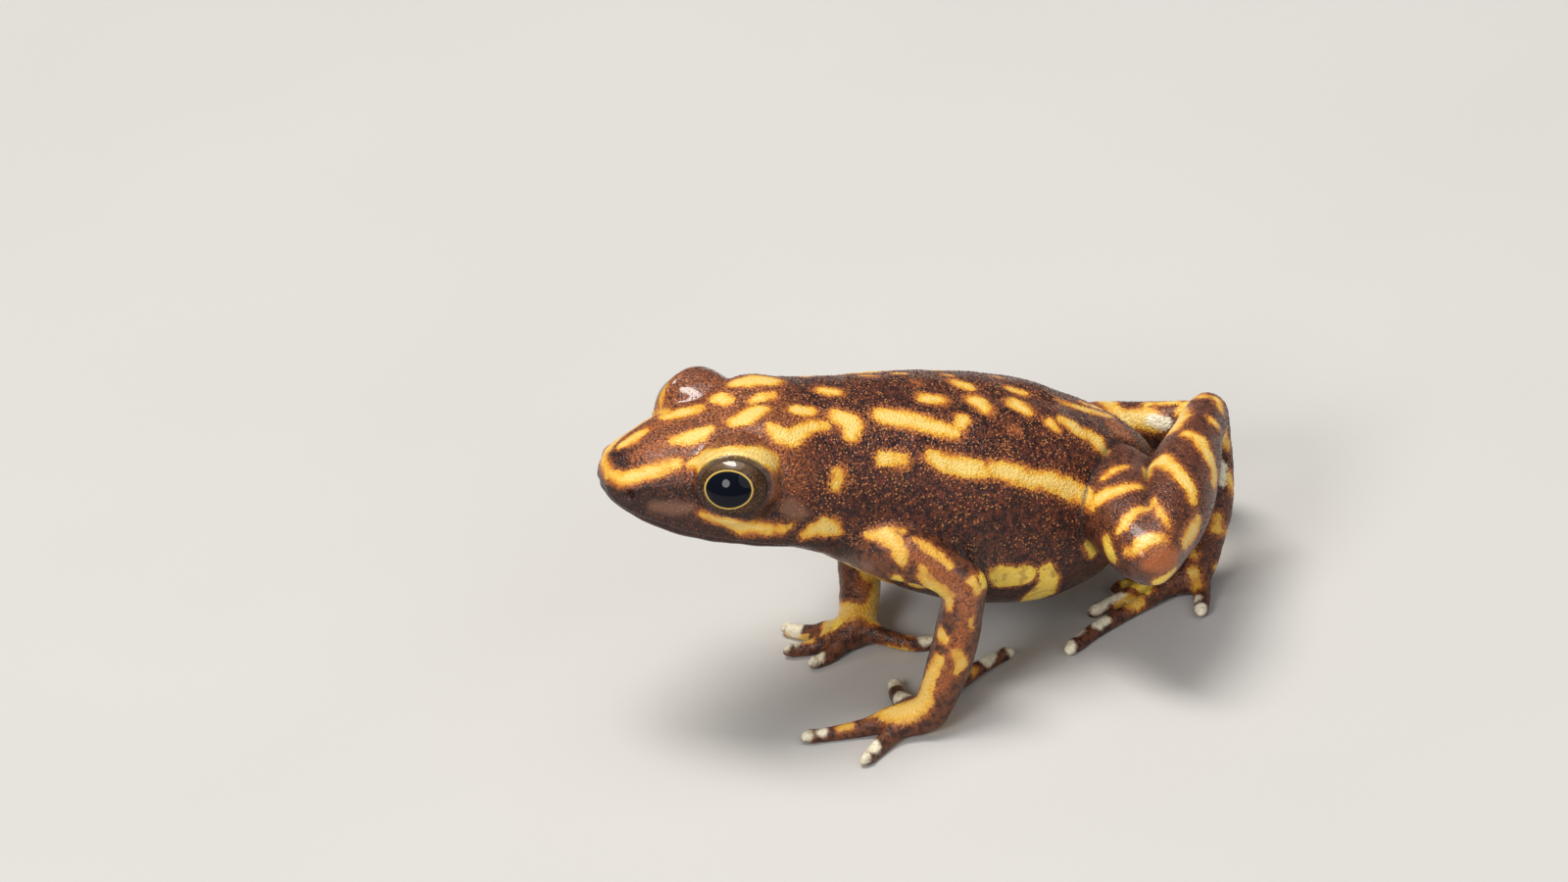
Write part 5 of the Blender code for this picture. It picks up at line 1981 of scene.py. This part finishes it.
@dataclass(frozen=True)
class SkinFinish:
    """Wet, finely grained frog skin."""

    name: str
    roughness: float = 0.31
    coat: float = 0.05
    coat_roughness: float = 0.12
    wetness: float = 0.90
    wet_smoothness: float = 0.16
    specular: float = 0.30
    bump: float = 1.0
    bump_distance: float = 0.000030
    specks: float = 1.0

    def build(self) -> bpy.types.Material:
        """The skin's material."""
        made, sheet, shader = new_material(self.name)
        paint = sheet.group(PaintEffect().build(), {"Specks": self.specks})
        grain = sheet.group(GrainEffect().build(), {})
        wet = sheet.attribute("wet")
        rough = grain["Mottle"].ranged(0.3, 0.7, self.roughness - 0.06, self.roughness + 0.08)
        relief = {"Strength": self.bump, "Distance": self.bump_distance, "Height": grain["Height"]}
        sheet.feed(
            shader,
            {
                "Base Color": paint["Color"],
                "Roughness": rough - wet * self.wet_smoothness,
                "Coat Weight": wet * self.wetness + self.coat,
                "Coat Roughness": self.coat_roughness,
                "Specular IOR Level": self.specular,
                "Normal": sheet.signal("ShaderNodeBump", "Normal", relief),
            },
        )
        return made


@dataclass(frozen=True)
class EyeFinish:
    """A dark glossy eye: a wide pupil with a thin gold ring in a bronze iris, with a painted highlight paling
    its upper part.
    """

    name: str = "eye_finish"
    pupil_across: float = 0.63
    pupil_up: float = 0.50
    pupil_ahead: float = 0.11
    pupil_low: float = 0.03
    pupil_ragged: float = 0.03
    grains: float = 16000.0
    # How strongly the painted highlight pales the upper iris.
    pale_share: float = 0.75
    specular: float = 0.12
    coat_roughness: float = 0.03
    pupil: Numbers = (0.004, 0.005, 0.010, 1.0)
    ring: Numbers = (0.66, 0.44, 0.10, 1.0)
    iris: Numbers = (0.135, 0.062, 0.022, 1.0)
    iris_dark: Numbers = (0.016, 0.010, 0.008, 1.0)
    # Painted highlight: the pale colour of the upper iris, standing in for a reflection.
    iris_pale: Numbers = (0.20, 0.13, 0.075, 1.0)

    def build(self) -> bpy.types.Material:
        """The eye's material."""
        made, sheet, shader = new_material(self.name)
        high = sheet.attribute("up")
        across = (sheet.attribute("across") + self.pupil_ahead) / self.pupil_across
        up = (high + self.pupil_low) / self.pupil_up
        grain = sheet.group(GrainEffect().build(), {"Grains per metre": self.grains})
        share = (across * across + up * up).root() + (grain["Mottle"] - 0.5) * self.pupil_ragged
        colour = sheet.mixed(grain["Fine"].ranged(0.40, 0.62), self.iris_dark, self.iris)
        # Painted highlight: the upper iris is painted paler, as a reflection of the bright overhead.
        colour = sheet.mixed(high.ranged(0.35, 0.75) * self.pale_share, colour, self.iris_pale)
        colour = sheet.mixed(share.ranged(1.45, 1.75), colour, self.iris_dark)
        colour = sheet.mixed(share.ranged(0.99, 1.02) * share.ranged(1.10, 1.06), colour, self.ring)
        sheet.feed(
            shader,
            {
                "Base Color": sheet.mixed(share.ranged(1.02, 0.97), colour, self.pupil),
                "Roughness": share.ranged(0.9, 1.2, 0.06, 0.24),
                "Coat Weight": high.ranged(0.25, 0.62, 0.14, 1.0),
                "Coat Roughness": self.coat_roughness,
                "Specular IOR Level": self.specular,
            },
        )
        return made


@dataclass(frozen=True)
class FloorFinish:
    """A plain pale matt floor."""

    name: str = "floor_finish"
    pale: Numbers = (0.56, 0.545, 0.52, 1.0)
    paler: Numbers = (0.60, 0.585, 0.56, 1.0)
    mottle: float = 60.0
    roughness: float = 0.85

    def build(self) -> bpy.types.Material:
        """The floor's material."""
        made, sheet, shader = new_material(self.name)
        grain = sheet.group(GrainEffect().build(), {"Mottle per metre": self.mottle})
        colour = sheet.mixed(grain["Mottle"], self.pale, self.paler)
        sheet.feed(shader, {"Base Color": colour, "Roughness": self.roughness})
        return made


@dataclass(frozen=True)
class Granules:
    """The tiny domes that stud the back and flanks, spread over the skin by a node tree."""

    per_square_metre: float = 51.0e6
    radius: float = 0.027
    flatness: float = 0.50
    smallest: float = 0.55
    largest: float = 1.15
    seed: int = 7

    def tree(self, material: bpy.types.Material) -> bpy.types.NodeTree:
        """The node tree that makes the granules.

        Args:
            material: their finish.

        Returns:
            The tree, with named inputs for its sizes.
        """
        made = bpy.data.node_groups.new("granules", "GeometryNodeTree")
        face = made.interface
        face.new_socket(name="Geometry", in_out="INPUT", socket_type="NodeSocketGeometry")
        for name in ("Density", "Radius", "Flatness"):
            face.new_socket(name=name, in_out="INPUT", socket_type="NodeSocketFloat")
        face.new_socket(name="Seed", in_out="INPUT", socket_type="NodeSocketInt")
        face.new_socket(name="Geometry", in_out="OUTPUT", socket_type="NodeSocketGeometry")
        sheet = NodeSheet(made)
        node = sheet.add("NodeGroupInput", {})
        given = {socket.name: Signal(sheet, socket) for socket in node.outputs if socket.name}
        inputs = {"Name": "specks"}
        where = sheet.signal("GeometryNodeInputNamedAttribute", "Attribute", inputs, data_type="FLOAT")
        inputs = {"Mesh": given["Geometry"], "Density": given["Density"] * where, "Seed": given["Seed"]}
        spread = sheet.add("GeometryNodeDistributePointsOnFaces", inputs, distribute_method="RANDOM")
        inputs = {"Subdivisions": 1, "Radius": given["Radius"]}
        dome = sheet.signal("GeometryNodeMeshIcoSphere", "Mesh", inputs)
        inputs = {"Min": self.smallest, "Max": self.largest, "Seed": given["Seed"]}
        size = sheet.signal("FunctionNodeRandomValue", "Value", inputs, data_type="FLOAT")
        inputs = {"X": size, "Y": size, "Z": size * given["Flatness"]}
        scale = sheet.signal("ShaderNodeCombineXYZ", "Vector", inputs)
        turn = spread.outputs["Rotation"]
        inputs = {"Points": spread.outputs["Points"], "Instance": dome, "Rotation": turn, "Scale": scale}
        place = sheet.signal("GeometryNodeInstanceOnPoints", "Instances", inputs)
        real = sheet.signal("GeometryNodeRealizeInstances", "Geometry", {"Geometry": place})
        smooth = sheet.signal("GeometryNodeSetShadeSmooth", "Geometry", {"Geometry": real})
        inputs = {"Geometry": smooth, "Material": material}
        painted = sheet.signal("GeometryNodeSetMaterial", "Geometry", inputs)
        sheet.add("NodeGroupOutput", {"Geometry": painted})
        return made

    def build(self, skin: bpy.types.Object, material: bpy.types.Material) -> bpy.types.Object:
        """Makes the granules as one mesh.

        Args:
            skin: the finished skin that carries them.
            material: their finish.

        Returns:
            The granules' object.
        """
        made = linked("skin_granules", skin.data.copy())
        modifier = made.modifiers.new("granules", "NODES")
        modifier.node_group = self.tree(material)
        values = {
            "Density": self.per_square_metre,
            "Radius": self.radius * METRES,
            "Flatness": self.flatness,
            "Seed": self.seed,
        }
        for item in modifier.node_group.interface.items_tree:
            if item.in_out == "INPUT" and item.name in values:
                modifier[item.identifier] = values[item.name]
        mesh = applied(made)
        made.modifiers.clear()
        made.data = mesh
        return made


@dataclass(frozen=True)
class Eyes:
    """Both globes, each a piece of its own that the lids close round."""

    form: EyeForm
    trunk: TrunkForm
    rows: int = 48

    def build(
        self, side: int, name: str, shift: np.ndarray, material: bpy.types.Material
    ) -> bpy.types.Object:
        """Makes one eye.

        Args:
            side: 1 for left and -1 for right.
            name: the object's name.
            shift: from the frog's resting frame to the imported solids' frame.
            material: its finish.

        Returns:
            The eye's object.
        """
        flip = np.array([side, 1.0, 1.0])
        shell = Shell()
        shell.add_ball((0.0, 0.0, 0.0), (self.form.radius,) * 3, rows=self.rows)
        mesh = shell.mesh(name)
        flat = np.zeros(len(mesh.vertices) * 3)
        mesh.vertices.foreach_get("co", flat)
        places = flat.reshape(-1, 3)
        front, across, rise = ((places * flip) @ axis for axis in self.form.axes())
        across = np.where(front > 0, across, np.sign(across) * 2 * self.form.radius - across)
        store(mesh, {"across": across, "up": rise})
        local = places + np.array(self.form.centre) * flip
        mesh.vertices.foreach_set("co", ((self.trunk.outward(local) + shift) * METRES).ravel())
        mesh.materials.append(material)
        mesh.update()
        return linked(name, mesh)


@dataclass(frozen=True)
class Lamp:
    """One oval soft light that points at the frog.

    Its place and its length and width are in metres, and its power is in watts.
    """

    name: str
    place: Numbers
    size: Numbers
    power: float
    colour: Numbers
    aim: Numbers = (0.0, 0.0, 0.004)

    def build(self) -> None:
        """Hangs the light."""
        data = bpy.data.lights.new(self.name, "AREA")
        data.shape = "ELLIPSE"
        data.size, data.size_y = self.size
        data.energy = self.power
        data.color = self.colour
        made = linked(self.name, data)
        made.location = self.place
        made.rotation_euler = (Vector(self.aim) - Vector(self.place)).to_track_quat("-Z", "Y").to_euler()


@dataclass(frozen=True)
class Studio:
    """The pale floor, the four lights and the dim surroundings."""

    floor_size: float = 1.2
    world: Numbers = (0.80, 0.84, 0.90, 1.0)
    world_strength: float = 0.16
    lamps: tuple[Lamp, ...] = (
        Lamp("key_light", (-0.05, -0.03, 0.27), (0.08, 0.20), 0.58, (1.0, 0.97, 0.92)),
        Lamp("top_light", (-0.02, 0.02, 0.26), (0.24, 0.20), 0.18, (1.0, 0.98, 0.95)),
        Lamp("front_light", (0.17, -0.20, 0.18), (0.12, 0.12), 0.40, (0.98, 0.98, 1.0)),
        Lamp("fill_light", (0.26, 0.12, 0.20), (0.30, 0.30), 0.24, (0.95, 0.97, 1.0)),
    )

    def build(self) -> bpy.types.Object:
        """Sets up floor, lights and surroundings.

        Returns:
            The floor.
        """
        half = self.floor_size / 2
        mesh = bpy.data.meshes.new("floor")
        corners = [(x * half, y * half, 0) for x, y in ((-1, -1), (1, -1), (1, 1), (-1, 1))]
        mesh.from_pydata(corners, [], [(0, 1, 2, 3)])
        mesh.materials.append(FloorFinish().build())
        floor = linked("floor", mesh)
        for lamp in self.lamps:
            lamp.build()
        world = bpy.data.worlds.new("studio")
        world.use_nodes = True
        background = world.node_tree.nodes["Background"]
        background.inputs["Color"].default_value = self.world
        background.inputs["Strength"].default_value = self.world_strength
        bpy.context.scene.world = world
        bpy.context.scene.view_settings.view_transform = "Standard"
        return floor


def clear_scene() -> None:
    """Takes away the objects that a new file starts with."""
    for made in list(bpy.data.objects):
        bpy.data.objects.remove(made)


def main() -> None:
    """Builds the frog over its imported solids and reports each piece."""
    logging.basicConfig(level=logging.INFO, format="%(message)s")
    clear_scene()
    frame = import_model()
    anatomy = Anatomy()
    eye = EyeForm()
    view = Viewpoint()
    low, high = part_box("eye_left")
    resting = anatomy.trunk.outward(np.array([SOLID_EYE]))[0]
    shift = (np.array(low) + np.array(high)) / 2 / METRES - resting
    skin = Skin(anatomy, FaceForm(), eye, view).build(shift)
    skin.data.materials.append(SkinFinish("skin_finish").build())
    finish = SkinFinish("granule_finish", roughness=0.32, coat=0.08, bump=0.1).build()
    granules = Granules().build(skin, finish)
    eye_finish = EyeFinish().build()
    eyes = Eyes(eye, anatomy.trunk)
    left = eyes.build(1, "left_eye", shift, eye_finish)
    right = eyes.build(-1, "right_eye", shift, eye_finish)
    for piece in (skin, granules, left, right):
        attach(piece, "root")
        LOG.info("%s: %d faces", piece.name, len(piece.data.polygons))
    flesh = [name for name in frame["nodes"] if not name.startswith("eye")]
    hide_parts(*flesh)
    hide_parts("eye_left")
    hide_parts("eye_right")
    Studio().build()
    view.build(shift)


if __name__ == "__main__":
    main()
